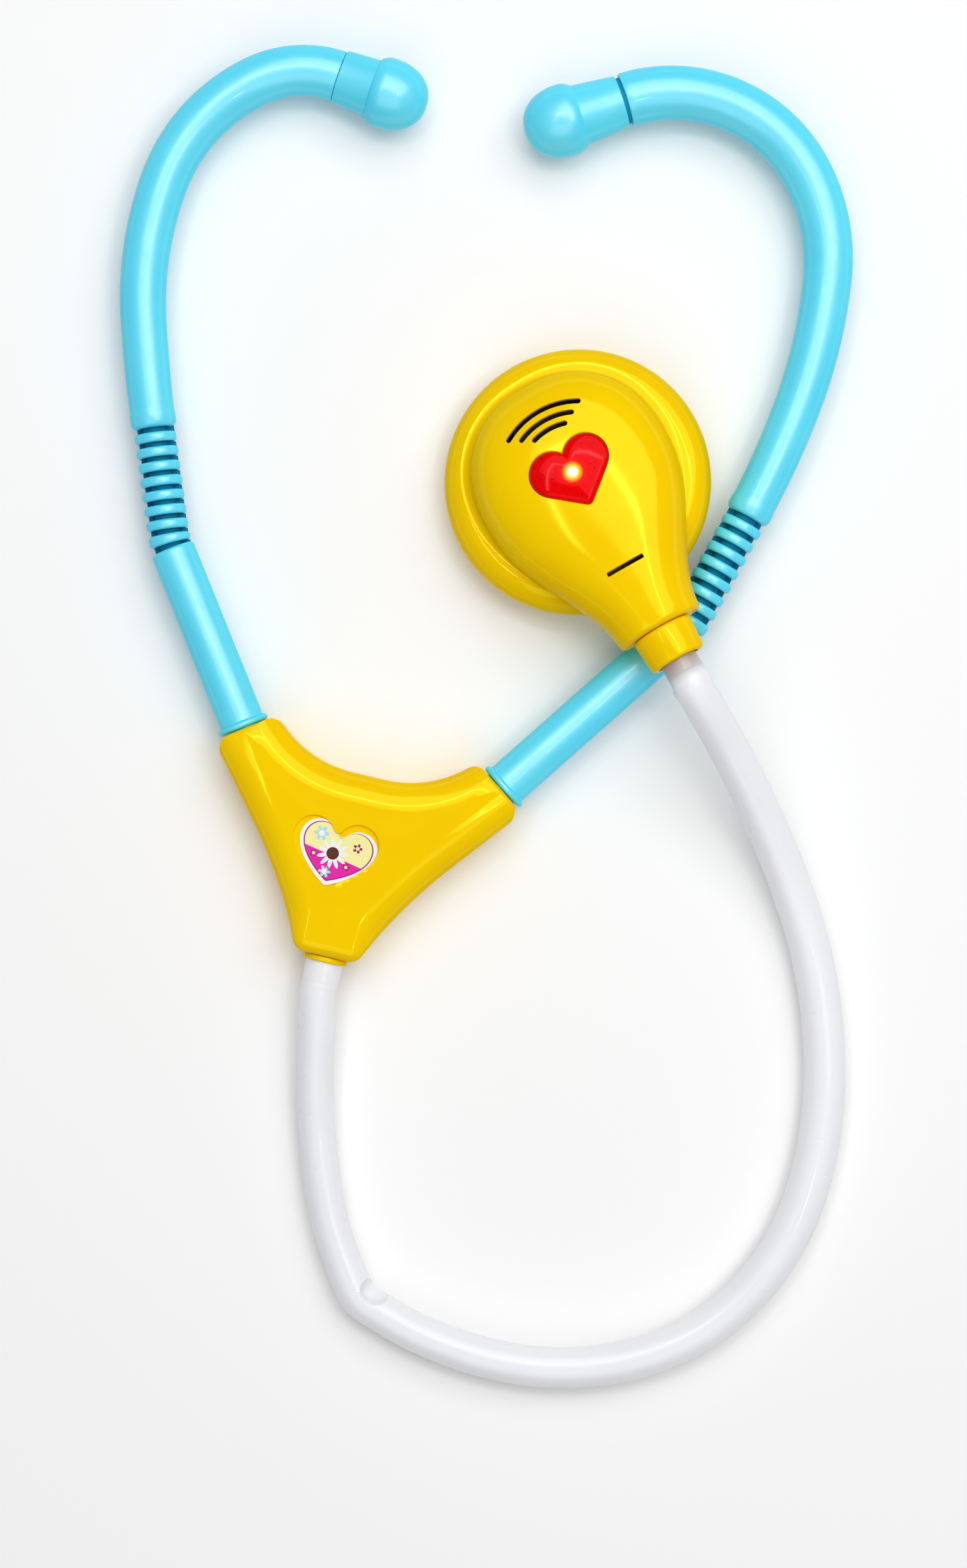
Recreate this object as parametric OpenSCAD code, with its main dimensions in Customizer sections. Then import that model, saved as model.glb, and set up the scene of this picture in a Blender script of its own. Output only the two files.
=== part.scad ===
// Toy stethoscope, lying flat. A two-armed yoke carries two bent ear tubes on ribbed necks,
// and a soft hose runs from its foot to a round chest piece with a heart button.
// Sizes are in millimetres. +Y runs up the middle of the yoke and +Z is up.

/* [Headset] */
// Height of the tube axes above the ground
axis_h = 8.6; // [8.5:0.1:9]
// Angle of each ear tube from the middle line of the yoke
arm_angle = 35.2; // [34:0.2:36]
// Radius of the ear tubes at the yoke
tube_r = 5.25; // [5.1:0.05:5.5]
// Radius of the ear tubes at the ear tips
tube_end_r = 6.2; // [5.9:0.05:6.5]
// Wall of the upper ear tubes
tube_wall = 1.9; // [1.7:0.1:2]
// Radius of the flange where a tube enters the yoke
flange_r = 6.15; // [5.9:0.05:6.5]
// Radius of the ear tip domes
dome_r = 8.45; // [7.8:0.05:8.5]
// Length of the collar between tube and dome
tip_collar = 9.2; // [7:0.2:11]

/* [Ribbed necks] */
// Number of ribs on each neck
rib_n = 8; // [6:1:9]
// Radius of a rib
rib_r = 4.75; // [4.4:0.05:5]
// Thickness of a rib
rib_t = 2.2; // [1.8:0.1:2.4]
// Radius of the core rod inside the ribs
core_r = 2.3; // [2:0.1:2.8]

/* [Yoke] */
// Height of the front half above the tube axes
front_h = 7.6; // [7.2:0.2:9]
// Distance from the meeting point of the axes to the arm mouths
mouth_d = 53.5; // [52:0.5:55]
// Half the width of an arm mouth
mouth_w = 7.9; // [7.5:0.1:8.4]
// Wall of the yoke halves
yoke_wall = 2; // [1.8:0.1:2.2]
// Half the width of the heart badge's recess
badge_w = 9; // [8.6:0.1:9.4]
// Rounding of the front edge, sideways
edge_in = 5; // [4:0.2:5.4]
// Rounding of the front edge, downwards
edge_down = 5.6; // [4.6:0.2:6]

/* [Hose] */
// Outer radius of the hose
hose_r = 4.7; // [4.5:0.05:4.8]
// Inner radius of the hose
hose_bore = 3.25; // [3.2:0.05:3.4]

/* [Chest piece] */
// Radius of the round disc over its rim
disc_r = 31.3; // [31:0.1:32]
// Thickness of the disc
disc_h = 13; // [12.6:0.2:13.4]
// Half the width of the housing at its bulb
bulb_w = 23.6; // [23:0.1:24]
// Reach of the bulb behind the disc's middle
bulb_back = 24.4; // [23.8:0.1:24.5]
// Height of the housing above the disc
bulb_h = 14.2; // [14:0.2:15]
// Wall of the housing
shell_t = 1.8; // [1.6:0.1:2]
// Tilt of the chest piece where its neck lies over an ear tube
chest_tilt = 5.5; // [5.4:0.2:7]
// Distance from the disc's middle to the neck's shoulder
shoulder_x = 40.8; // [40:0.2:42]
// Radius of the hose collar at the shoulder
collar_r = 7.3; // [7:0.1:7.6]
// Half the width of the heart button
heart_w = 9.65; // [9.2:0.05:10]
// Gap around the heart button
heart_gap = 0.35; // [0.3:0.05:0.5]
// Width of the speaker slots
slot_w = 1.3; // [1:0.1:1.6]

/* [Hidden] */
$fn = 48;
blue = [0.42, 0.85, 0.98];
yellow = [0.99, 0.83, 0.05];
steel = [0.75, 0.76, 0.78];

// Running gap of the tube shafts in the yoke, and the shaft itself
run_gap = 0.05;
shaft_r = 4.5;
bore_r = 3.05;
plug_r = 3;
// Collar that keeps a shaft in the yoke, its place behind the mouth, and the play in its pocket
keep_r = 5.5;
keep_t = 2.2;
keep_in = 4.6;
play = 0.3;
// Seam between pieces that stand end to end
seam = 0.1;
// Where the neck bends on each side, its lean and its rise: left, then right
flex_d = [100.7, 112];
lean = [21, 15.5];
rise = [26.9, 28.6];
bend = 3;
neck_end = 1.4;
// The bow of each upper tube as pairs of length and turn: left, then right
bow = [[[25, -4], [34, -24], [31, -43], [23, -44]], [[29, -8], [31, -15], [25, -33], [51, -79]]];

// A step along an arc from [x, y, heading], where a heading is counted outward from +Y
function hop(p, arc, f) = let (a = arc[1] * f,
    c = abs(a) < 0.01 ? arc[0] * f : 360 * arc[0] / (PI * arc[1]) * sin(a / 2))
    [p[0] + c * sin(p[2] + a / 2), p[1] + c * cos(p[2] + a / 2), p[2] + a];
function trail(p, arcs, n, k = 0) = k == len(arcs) ? [] :
    concat([for (i = [1:n]) hop(p, arcs[k], i / n)], trail(hop(p, arcs[k], 1), arcs, n, k + 1));
function arm_point(d) = [d * sin(arm_angle), d * cos(arm_angle), arm_angle];

// The neck: a short bend at its foot, then straight
function turn(i) = arm_angle - lean[i];
function bend_r(i) = bend / tan(turn(i) / 2);
function neck_arc(i) = [bend_r(i) * turn(i) * PI / 180, -turn(i)];
function neck_foot(i) = arm_point(flex_d[i] - bend);
function neck_len(i) = neck_arc(i)[0] + rise[i] - bend;
function neck_at(i, s) = s < neck_arc(i)[0] ? hop(neck_foot(i), neck_arc(i), s / neck_arc(i)[0]) :
    hop(hop(neck_foot(i), neck_arc(i), 1), [s - neck_arc(i)[0], 0], 1);
function rib_gap(i) = (neck_len(i) - 2 * neck_end - rib_n * rib_t) / (rib_n + 1);

// The upper tube's path, with close first steps for the rounded band at its foot
band_l = 3.4;
band_up = 0.15;
function tube_path(i) = let (p = neck_at(i, neck_len(i) + seam), l = bow[i][0][0])
    concat([p, for (d = [0.4, band_l, band_l + 0.5]) hop(p, bow[i][0], d / l)],
        [for (q = trail(p, bow[i], 7)) if (norm([q[0] - p[0], q[1] - p[1]]) > band_l + 1) q]);
function tube_tip(i) = let (t = tube_path(i)) t[len(t) - 1];

// A closed skin over rings that all have the same number of points
function skin_faces(n, m) = concat([[for (j = [0:m - 1]) j]],
    [for (i = [0:n - 2], j = [0:m - 1], t = [0, 1])
        t == 0 ? [i * m + j, (i + 1) * m + j, (i + 1) * m + (j + 1) % m] :
            [i * m + j, (i + 1) * m + (j + 1) % m, i * m + (j + 1) % m]],
    [[for (j = [m - 1:-1:0]) (n - 1) * m + j]]);
module skin(rings) polyhedron([for (r = rings) each r], skin_faces(len(rings), len(rings[0])));

// A pipe between outer and inner rings
function pipe_faces(n, m) = let (o = n * m) concat(
    [for (i = [0:n - 2], j = [0:m - 1], t = [0, 1]) let (k = (j + 1) % m)
        t == 0 ? [i * m + j, (i + 1) * m + j, (i + 1) * m + k] : [i * m + j, (i + 1) * m + k, i * m + k]],
    [for (i = [0:n - 2], j = [0:m - 1], t = [0, 1]) let (k = (j + 1) % m)
        t == 0 ? [o + i * m + j, o + (i + 1) * m + k, o + (i + 1) * m + j] :
            [o + i * m + j, o + i * m + k, o + (i + 1) * m + k]],
    [for (j = [0:m - 1], t = [0, 1]) let (k = (j + 1) % m)
        t == 0 ? [j, k, o + k] : [j, o + k, o + j]],
    [for (j = [0:m - 1], t = [0, 1]) let (k = (j + 1) % m, e = (n - 1) * m)
        t == 0 ? [e + j, o + e + k, e + k] : [e + j, o + e + j, o + e + k]]);
module pipe(outer, inner) polyhedron([for (r = concat(outer, inner)) each r],
    pipe_faces(len(outer), len(outer[0])));

// One ring square to a flat path
function flat_ring(p, r, m) = [for (j = [0:m - 1]) let (a = 360 * j / m)
    [p[0] + r * sin(a) * cos(p[2]), p[1] - r * sin(a) * sin(p[2]), axis_h + r * cos(a)]];

// A polygon with each corner rounded to its own radius
function unit(v) = v / norm(v);
function corner(a, b, c, r, n) = let (u = unit(a - b), v = unit(c - b), h = acos(u * v) / 2,
    m = b + unit(u + v) * r / sin(h), s = b + u * r / tan(h) - m, e = b + v * r / tan(h) - m,
    a0 = atan2(s[1], s[0]), d = atan2(e[1], e[0]) - a0, w = d > 180 ? d - 360 : d < -180 ? d + 360 : d)
    [for (i = [0:n]) m + r * [cos(a0 + w * i / n), sin(a0 + w * i / n)]];
function rounded(pts, radii, n) = let (k = len(pts))
    [for (i = [0:k - 1]) each corner(pts[(i + k - 1) % k], pts[i], pts[(i + 1) % k], radii[i], n)];
function outward(pts, i) = let (k = len(pts), t = unit(pts[(i + 1) % k] - pts[(i + k - 1) % k])) [t[1], -t[0]];
function inset(pts, d) = [for (i = [0:len(pts) - 1]) pts[i] - d * outward(pts, i)];
function at_z(pts, z) = [for (p = pts) [p[0], p[1], z]];

// The yoke's outline: foot corner, hollowed side, outer and inner mouth corners, dip between the arms
arm_dir = [sin(arm_angle), cos(arm_angle)];
arm_side = [cos(arm_angle), -sin(arm_angle)];
yoke_half = [[6.8, -3.6], [15, 12.2], mouth_d * arm_dir + (mouth_w - 0.3) * arm_side,
    mouth_d * arm_dir - (mouth_w + 0.3) * arm_side, [13.7, 39.7]];
half_radii = [3.4, 120, 4, 3.2, 27];
// Both halves of an outline, from its +X half and the radii of that half's corners
corner_n = 6;
function both_sides(pts, radii) = let (k = len(pts))
    rounded(concat(pts, [for (i = [k - 1:-1:0]) [-pts[i][0], pts[i][1]]]),
        concat(radii, [for (i = [k - 1:-1:0]) radii[i]]), corner_n);
yoke_outline = both_sides(yoke_half, half_radii);
yoke_top = axis_h + front_h;
// The front's pillow has the same outline, with the arms carried past their mouths
arm_past = 8;
function past(a, b) = b + arm_past * unit(b - a);
pillow_radii = [half_radii[0], half_radii[1], 6.5, 6.5, half_radii[4]];
pillow = both_sides([yoke_half[0], yoke_half[1], past(yoke_half[1], yoke_half[2]),
    past(yoke_half[4], yoke_half[3]), yoke_half[4]], pillow_radii);
// A corner takes no more of the rounding than its own radius allows
function edge_share(i) = let (c = floor(i / (corner_n + 1))) min(1, 0.8 * pillow_radii[c < 5 ? c : 9 - c] / edge_in);
function edge_ring(a) = [for (i = [0:len(pillow) - 1]) let (w = edge_share(i),
    p = pillow[i] - w * edge_in * (1 - cos(a)) * outward(pillow, i))
    [p[0], p[1], yoke_top - w * edge_down * (1 - sin(a))]];
// The mouths end the arms with a small rounding of their own
mouth_edge = 1.6;
yoke_screw_at = [[-9, 31.5], [9, 31.5], [0, 14]];

// A heart of half-width 1 with its lobes toward +Y
lobe_r = 0.545;
lobe_at = [0.455, 0.378];
heart_tip = -0.7;
tip_r = 0.13;
lobe_from = atan2(lobe_at[1] - heart_tip, lobe_at[0]) - 180 + acos(lobe_r / norm(lobe_at - [0, heart_tip]));
lobe_to = 180 - acos(lobe_at[0] / lobe_r);
heart_side = [for (i = [0:14]) let (a = lobe_from + (lobe_to - 6 - lobe_from) * i / 14)
    lobe_at + lobe_r * [cos(a), sin(a)]];
heart = concat([for (i = [-2:2]) let (a = -90 + i / 2 * (lobe_from + 90))
    [0, heart_tip + tip_r / cos(90 + lobe_from)] + tip_r * [cos(a), sin(a)]],
    heart_side, [for (i = [14:-1:0]) [-heart_side[i][0], heart_side[i][1]]]);

// Chest piece: its place, and a point of its own frame in the whole part
foot_r = 24;
chest_off = [-32.1, 26.2];
chest_roll = 3;
// The rim is a half round that stands a little proud of the disc
rim_w = 4.6;
rim_h = disc_h + 0.7;
rim_c = disc_r - rim_w;
chest_at = [arm_point(flex_d[1])[0] + chest_off[0], arm_point(flex_d[1])[1] + chest_off[1],
    rim_c * sin(acos(cos(chest_tilt) * cos(chest_roll))) + 0.02];
chest_turn = -47.5;
function chest_point(p) = let (y = p[1] * cos(chest_roll) - p[2] * sin(chest_roll),
    h = p[1] * sin(chest_roll) + p[2] * cos(chest_roll),
    x = p[0] * cos(chest_tilt) - h * sin(chest_tilt), z = p[0] * sin(chest_tilt) + h * cos(chest_tilt))
    chest_at + [x * cos(chest_turn) - y * sin(chest_turn), x * sin(chest_turn) + y * cos(chest_turn), z];
module at_chest() translate(chest_at) rotate([0, 0, chest_turn]) rotate([0, -chest_tilt, 0])
    rotate([chest_roll, 0, 0]) children();

// The housing's plan, height and squareness along its length
neck_w = 10.5;
neck_h = 12;
throat_h = 5;
neck_z = disc_h + 3.5;
collar_end = shoulder_x + 8.4;
face_x = 2.4;
face_z = disc_h + bulb_h;
function wide(x, t = 0) = x < 0 ?
    (bulb_w - t) * pow(max(0, 1 - pow(-x / (bulb_back - t), 2.2)), 1 / 2.2) :
    neck_w - t + (bulb_w - neck_w) * (0.5 + 0.5 * cos(180 * pow(x / shoulder_x, 1.15)));
function high(x, t = 0) = x < 0 ?
    (bulb_h - t) * pow(max(0, 1 - pow(-x / (bulb_back - t), 2.6)), 1 / 2.6) :
    bulb_h - t + (neck_h - bulb_h) * pow(x / shoulder_x, 2);
function square_of(x) = x < 0 ? 2.7 : 2.7 - 0.5 * x / shoulder_x;
function bow_of(c, n) = sign(c) * pow(abs(c), 2 / n);
// One arch of the housing, from its +Y foot over the top to its -Y foot
function arch(x, w, h, n, m) = [for (j = [0:m]) let (a = 180 * j / m)
    [x, w * bow_of(cos(a), n), h * (j == 0 || j == m ? 0 : bow_of(sin(a), n))]];
arch_m = 18;
shoulder_r = 1.2;
function shell_x(t, e) = concat([for (a = [5, 14, 24, 36, 48, 62, 76]) -(bulb_back - t) * cos(a)],
    [for (i = [0:8]) (shoulder_x - e) * i / 8]);
// Plan of the housing where it stands on the disc
housing_x = shell_x(0, 0);
housing_plan = concat([for (x = housing_x) [x, wide(x) + seam / 4]],
    [for (i = [len(housing_x) - 1:-1:0]) [housing_x[i], -wide(housing_x[i]) - seam / 4]]);
// The last arches close in over a rounded shoulder
outer_arches = concat([for (x = shell_x(0, shoulder_r)) arch(x, wide(x), high(x), square_of(x), arch_m)],
    [for (a = [30, 60, 90]) let (x = shoulder_x - shoulder_r * (1 - sin(a)), e = shoulder_r * (1 - cos(a)))
        arch(x, wide(x, e), high(x, e), square_of(x), arch_m)]);
inner_arches = [for (x = concat(shell_x(shell_t, 5), [for (e = [4, 3, 2]) shoulder_x - e]))
    arch(x, wide(x, shell_t), high(x, shell_t), square_of(x), arch_m)];
// Faces of an arched shell that is open underneath
function shell_faces(n, m) = let (o = n * m, e = m - 1, z = (n - 1) * m) concat(
    [for (i = [0:n - 2], j = [0:m - 2], t = [0, 1])
        t == 0 ? [i * m + j, (i + 1) * m + j + 1, i * m + j + 1] :
            [i * m + j, (i + 1) * m + j, (i + 1) * m + j + 1]],
    [for (i = [0:n - 2], j = [0:m - 2], t = [0, 1])
        t == 0 ? [o + i * m + j, o + i * m + j + 1, o + (i + 1) * m + j + 1] :
            [o + i * m + j, o + (i + 1) * m + j + 1, o + (i + 1) * m + j]],
    [[for (j = [0:m - 1]) j], [for (j = [m - 1:-1:0]) o + j],
        [for (j = [m - 1:-1:0]) z + j], [for (j = [0:m - 1]) o + z + j]],
    [for (i = [0:n - 2], t = [0, 1]) t == 0 ? [i * m, o + (i + 1) * m, (i + 1) * m] :
        [i * m, o + i * m, o + (i + 1) * m]],
    [for (i = [0:n - 2], t = [0, 1]) t == 0 ? [i * m + e, (i + 1) * m + e, o + (i + 1) * m + e] :
        [i * m + e, o + (i + 1) * m + e, o + i * m + e]],
    [[0, o + e, o], [0, e, o + e], [z, o + z + e, z + e], [z, o + z, o + z + e]]);

// Chest screws, battery cells and the small parts on the board
back_screw_at = [[12.5, 14.9], [-12.5, 14.9], [0, -19]];
cell_r = 5.8;
cell_h = 5.4;
cell_gap = 0.6;
cell_at = [-2 * cell_r - cell_gap, 0, 2 * cell_r + cell_gap];
cell_z = 2.4;
// Battery box: room for the cells, its wall, and the door with its lug
room_l = 6 * cell_r + 2.6;
room_w = 2 * cell_r + 0.8;
box_wall = 1.3;
box_top = cell_z + cell_h + 2.4;
door_t = 1.3;
door_z = 0.6;
lug_y = room_w / 2 + 3.2;
lug_r = 3.1;
plate_r = foot_r - 1;
speaker_x = -12.5;
slot_at = [[13.3, 17.3], [15.7, 24.7], [18.3, 30]];
slit_x = 25.1;
slit_l = 9.4;

// The hose: outlet of the yoke, along the ground, then up to the collar
hose_in = 3;
plug_l = 6;
bush_end = -5;
hose_way = concat([[0, bush_end, axis_h], [0, bush_end - 4, axis_h], [0.2, -13, 8.5]],
    [[1.8, -20.5, 7.8], [4, -32, 6.2], [7.2, -44, 5.1], [11.5, -56.5, 4.8], [16.5, -67, 4.8], [22, -75.5, 4.8],
    [26, -80, 4.8], [32, -82.8, 4.8], [42.5, -85.6, 4.8], [58.5, -87.3, 4.8], [75, -85.8, 4.8], [91.5, -80, 4.8],
    [105.5, -70.2, 4.8], [115.5, -57, 4.8], [121.5, -41, 4.8], [123, -24.5, 4.8], [121.4, -8, 4.8],
    [117, 8.4, 4.8], [110.4, 24, 5.3], [101.7, 38.4, 7.6], [91.5, 52, 12.4], [80.4, 64.9, 18.4]],
    [for (x = [9, 3, -hose_in]) chest_point([collar_end + x, 0, neck_z])]);
// A smooth curve through the way points
function curve(a, b, c, d, t) = b + t * (0.5 * (c - a) + t * (a - 2.5 * b + 2 * c - 0.5 * d
    + t * (1.5 * (b - c) + 0.5 * (d - a))));
hose_n = len(hose_way);
hose_line = concat([for (i = [0:hose_n - 2], k = [0:2]) curve(hose_way[max(i - 1, 0)], hose_way[i],
    hose_way[i + 1], hose_way[min(i + 2, hose_n - 1)], k / 3)], [hose_way[hose_n - 1]]);
function hose_ring(i, r) = let (n = len(hose_line), p = hose_line[i],
    t = unit(hose_line[min(i + 1, n - 1)] - hose_line[max(i - 1, 0)]),
    u = unit([0, 0, 1] - t[2] * t), v = cross(t, u))
    [for (j = [0:11]) p + r * (cos(30 * j) * u + sin(30 * j) * v)];

// Places along the arm axes and along a neck, with +Z along the tube
module on_path(p) translate([p[0], p[1], axis_h]) rotate([0, 0, -p[2]]) rotate([-90, 0, 0]) children();
module both() {
    children();
    mirror([1, 0, 0]) children();
}

// A disc with rounded rims
module rib(r, t, e) rotate_extrude() union() {
    translate([0, -t / 2]) square([r - e, t]);
    translate([0, e - t / 2]) square([r, t - 2 * e]);
    for (z = [e - t / 2, t / 2 - e]) translate([r - e, z]) circle(e);
}

// Sockets that both yoke halves share: tube shafts, their retaining collars and the hose bush
module yoke_hollow(z0, z1) {
    difference() {
        translate([0, 0, z0]) linear_extrude(z1 - z0) polygon(inset(yoke_outline, yoke_wall));
        both() on_path(arm_point(0)) translate([0, 0, mouth_d - 14]) cube([40, 40, 4], center = true);
        for (p = yoke_screw_at) translate([p[0], p[1], z0 - 1]) cylinder(h = z1 - z0 + 2, r = 3.2);
    }
    both() on_path(arm_point(mouth_d - 19)) cylinder(h = 20, r = shaft_r + run_gap);
    both() on_path(arm_point(mouth_d - keep_in - play)) cylinder(h = keep_t + 2 * play, r = keep_r + play);
    translate([0, -4.5, axis_h]) rotate([-90, 0, 0]) cylinder(h = 6, r = 3.65);
}

module yoke_back() color(yellow) difference() {
    skin([at_z(inset(yoke_outline, 1.4), 0), at_z(inset(yoke_outline, 0.5), 0.4),
        at_z(yoke_outline, 1.4), at_z(yoke_outline, axis_h)]);
    yoke_hollow(yoke_wall, axis_h + 1);
    for (p = yoke_screw_at) translate([p[0], p[1], -1]) {
        cylinder(h = 20, r = 1.3);
        cylinder(h = 3, r = 2.6);
    }
}

module yoke_front() color(yellow) difference() {
    intersection() {
        skin(concat([at_z(pillow, axis_h)], [for (a = [0:15:90]) edge_ring(a)]));
        skin(concat([at_z(inset(yoke_outline, -0.03), axis_h - 1)], [for (a = [0:30:90])
            at_z(inset(yoke_outline, mouth_edge * (1 - cos(a)) - 0.03), yoke_top + 0.1 - mouth_edge * (1 - sin(a)))]));
    }
    yoke_hollow(axis_h - 1, yoke_top - yoke_wall);
    for (p = yoke_screw_at) translate([p[0], p[1], axis_h - 1]) cylinder(h = front_h - yoke_wall, r = 1.25);
    translate([-1, 20.6, yoke_top - 0.5]) linear_extrude(2) polygon(1.13 * badge_w * heart);
}

// Countersunk into the back half, biting into the front half
module yoke_screws() color(steel) for (p = yoke_screw_at) translate([p[0], p[1], 0.3]) difference() {
    union() {
        cylinder(h = 1.7, r = 2.4);
        cylinder(h = axis_h + 3, r = 1.2);
    }
    for (a = [0, 90]) rotate([0, 0, a]) translate([0, 0, 0.2]) cube([3, 0.6, 1.4], center = true);
}

module yoke_badge() color("white") translate([-1.5, 20.6, yoke_top - 0.5]) rotate([0, 0, -6])
    linear_extrude(0.25) polygon(0.97 * badge_w * heart);

// Hose barb with a ring outside the yoke and a flange inside it
module yoke_bush() color(yellow) translate([0, 0, axis_h]) rotate([90, 0, 0]) difference() {
    union() {
        translate([0, 0, -0.4]) cylinder(h = 1.8, r = 5);
        cylinder(h = plug_l - bush_end, r = plug_r);
        cylinder(h = 4, r = 3.6);
        translate([0, 0, 3.7]) cylinder(h = -bush_end - 3.7, r = 5.2);
        translate([0, 0, 2 - bush_end]) cylinder(h = 2, r1 = plug_r + 0.1, r2 = plug_r);
    }
    translate([0, 0, -2]) cylinder(h = 20, r = 1.6);
}

// Ear tube below its neck: shaft and collar in the yoke, flange at the mouth
module lower_tube(i) on_path(arm_point(0)) difference() {
    union() {
        translate([0, 0, mouth_d - 17]) cylinder(h = 20, r = shaft_r);
        translate([0, 0, mouth_d - keep_in]) cylinder(h = keep_t, r = keep_r);
        translate([0, 0, mouth_d + play]) cylinder(h = 1.5, r = flange_r);
        translate([0, 0, mouth_d + 1]) cylinder(h = flex_d[i] - bend - mouth_d - 1, r1 = tube_r + 0.05, r2 = tube_r);
    }
    translate([0, 0, mouth_d - 18]) cylinder(h = 100, r = bore_r);
}

module neck(i) {
    foot = neck_foot(i);
    knee = neck_at(i, neck_arc(i)[0]);
    head = neck_at(i, neck_len(i));
    up = rise[i] - bend;
    // core and spine of the bend
    translate([foot[0] - bend_r(i) * cos(arm_angle), foot[1] + bend_r(i) * sin(arm_angle), axis_h])
        rotate([0, 0, -arm_angle]) rotate_extrude(angle = turn(i)) {
            translate([bend_r(i), 0]) circle(core_r);
            translate([bend_r(i) - rib_r + 0.9, 0]) square([1.4, 2.6], center = true);
        }
    on_path(knee) {
        cylinder(h = up, r = core_r);
        translate([0.9 - rib_r, 0, up / 2]) cube([1.4, 2.6, up], center = true);
    }
    for (k = [0:rib_n - 1]) on_path(neck_at(i, neck_end + rib_gap(i) + rib_t / 2 + k * (rib_t + rib_gap(i))))
        rib(rib_r, rib_t, 0.7);
    on_path(foot) {
        translate([0, 0, neck_end / 2]) rib(tube_r - 0.1, neck_end, 0.4);
        translate([0, 0, -6]) cylinder(h = 6.2, r = plug_r);
    }
    on_path(head) {
        translate([0, 0, -neck_end / 2]) rib(tube_r - 0.1, neck_end, 0.4);
        translate([0, 0, -0.2]) cylinder(h = 6.2, r = plug_r);
    }
}

module upper_tube(i) {
    path = tube_path(i);
    n = len(path) - 1;
    wide_at = [for (k = [0:n]) tube_r + (tube_end_r - tube_r) * max(k - 3, 0) / (n - 3)];
    swell = [-0.4, band_up, band_up];
    pipe([for (k = [0:n]) flat_ring(path[k], wide_at[k] + (k < 3 ? swell[k] : 0), 20)],
        [for (k = [0:n]) flat_ring(path[k], wide_at[k] - tube_wall, 20)]);
}

// Half profile of a dome: a rounded lip that overhangs the collar, then a blunt nose
dome_l = 13.2;
lip_l = 3;
lip_in = 1.1;
dome = concat([[0, 0]], [for (z = [0:0.3:lip_l]) [dome_r - lip_in * pow(1 - z / lip_l, 2.2), z]],
    [for (a = [5:5:90]) [dome_r * pow(cos(a), 0.9), lip_l + (dome_l - lip_l) * pow(sin(a), 0.9)]]);
// Ear tip: plug, waist, flaring collar and dome
module ear_tip(i) on_path(tube_tip(i)) {
    translate([0, 0, -4]) cylinder(h = 5, r = tube_end_r - tube_wall - 0.5);
    translate([0, 0, seam]) cylinder(h = 1, r = tube_end_r - 0.9);
    translate([0, 0, 0.5]) cylinder(h = tip_collar - 0.5, r1 = tube_end_r - 0.25, r2 = tube_end_r + 0.6);
    translate([0, 0, tip_collar]) rotate_extrude() polygon(dome);
}

module left_lower_tube() color(blue) mirror([1, 0, 0]) lower_tube(0);
module right_lower_tube() color(blue) lower_tube(1);
module left_neck() color(blue) mirror([1, 0, 0]) neck(0);
module right_neck() color(blue) neck(1);
module left_upper_tube() color(blue) mirror([1, 0, 0]) upper_tube(0);
module right_upper_tube() color(blue) upper_tube(1);
module left_ear_tip() color(blue) mirror([1, 0, 0]) ear_tip(0);
module right_ear_tip() color(blue) ear_tip(1);

module hose() color([0.93, 0.93, 0.9]) pipe([for (i = [0:len(hose_line) - 1]) hose_ring(i, hose_r)],
    [for (i = [0:len(hose_line) - 1]) hose_ring(i, hose_bore)]);

// Hole through both shells for the collar
module collar_hole() {
    translate([shoulder_x - 3, 0, neck_z]) rotate([0, 90, 0]) cylinder(h = 6, r = 5.55);
    translate([shoulder_x - 5, 0, neck_z]) rotate([0, 90, 0]) cylinder(h = 2.6, r = 7.3);
}

// Disc with a half-round rim, and the lower half of the neck
module chest_base() color(yellow) at_chest() difference() {
    union() {
        rotate_extrude() union() {
            square([rim_c, disc_h]);
            translate([rim_c, rim_h / 2]) scale([2 * rim_w / rim_h, 1]) circle(rim_h / 2);
        }
        translate([0, 0, disc_h]) skin([for (x = [20:3.466:20 + 6 * 3.466]) let (q = min(x, shoulder_x))
            [for (p = arch(x > 40 ? shoulder_x : x, wide(q), throat_h, 2.4, 12)) [p[0], -p[1], -p[2]]]]);
    }
    difference() {
        union() {
            translate([0, 0, -1]) cylinder(h = 4, r = plate_r + 0.05);
            cylinder(h = disc_h - 2.4, r = plate_r - 1);
            cylinder(h = disc_h + 1, r = 18.5);
        }
        for (p = back_screw_at) translate([p[0], p[1], 3]) cylinder(h = disc_h - 3, r = 2.8);
    }
    translate([0, 0, disc_h]) linear_extrude(3) polygon(housing_plan);
    translate([0, 0, (box_top + play) / 2])
        cube([room_l + 2 * box_wall + 2 * play, room_w + 2 * box_wall + 2 * play, box_top + play], center = true);
    for (p = back_screw_at) translate([p[0], p[1], 1]) cylinder(h = 30, r = 1.25);
    collar_hole();
}

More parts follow.
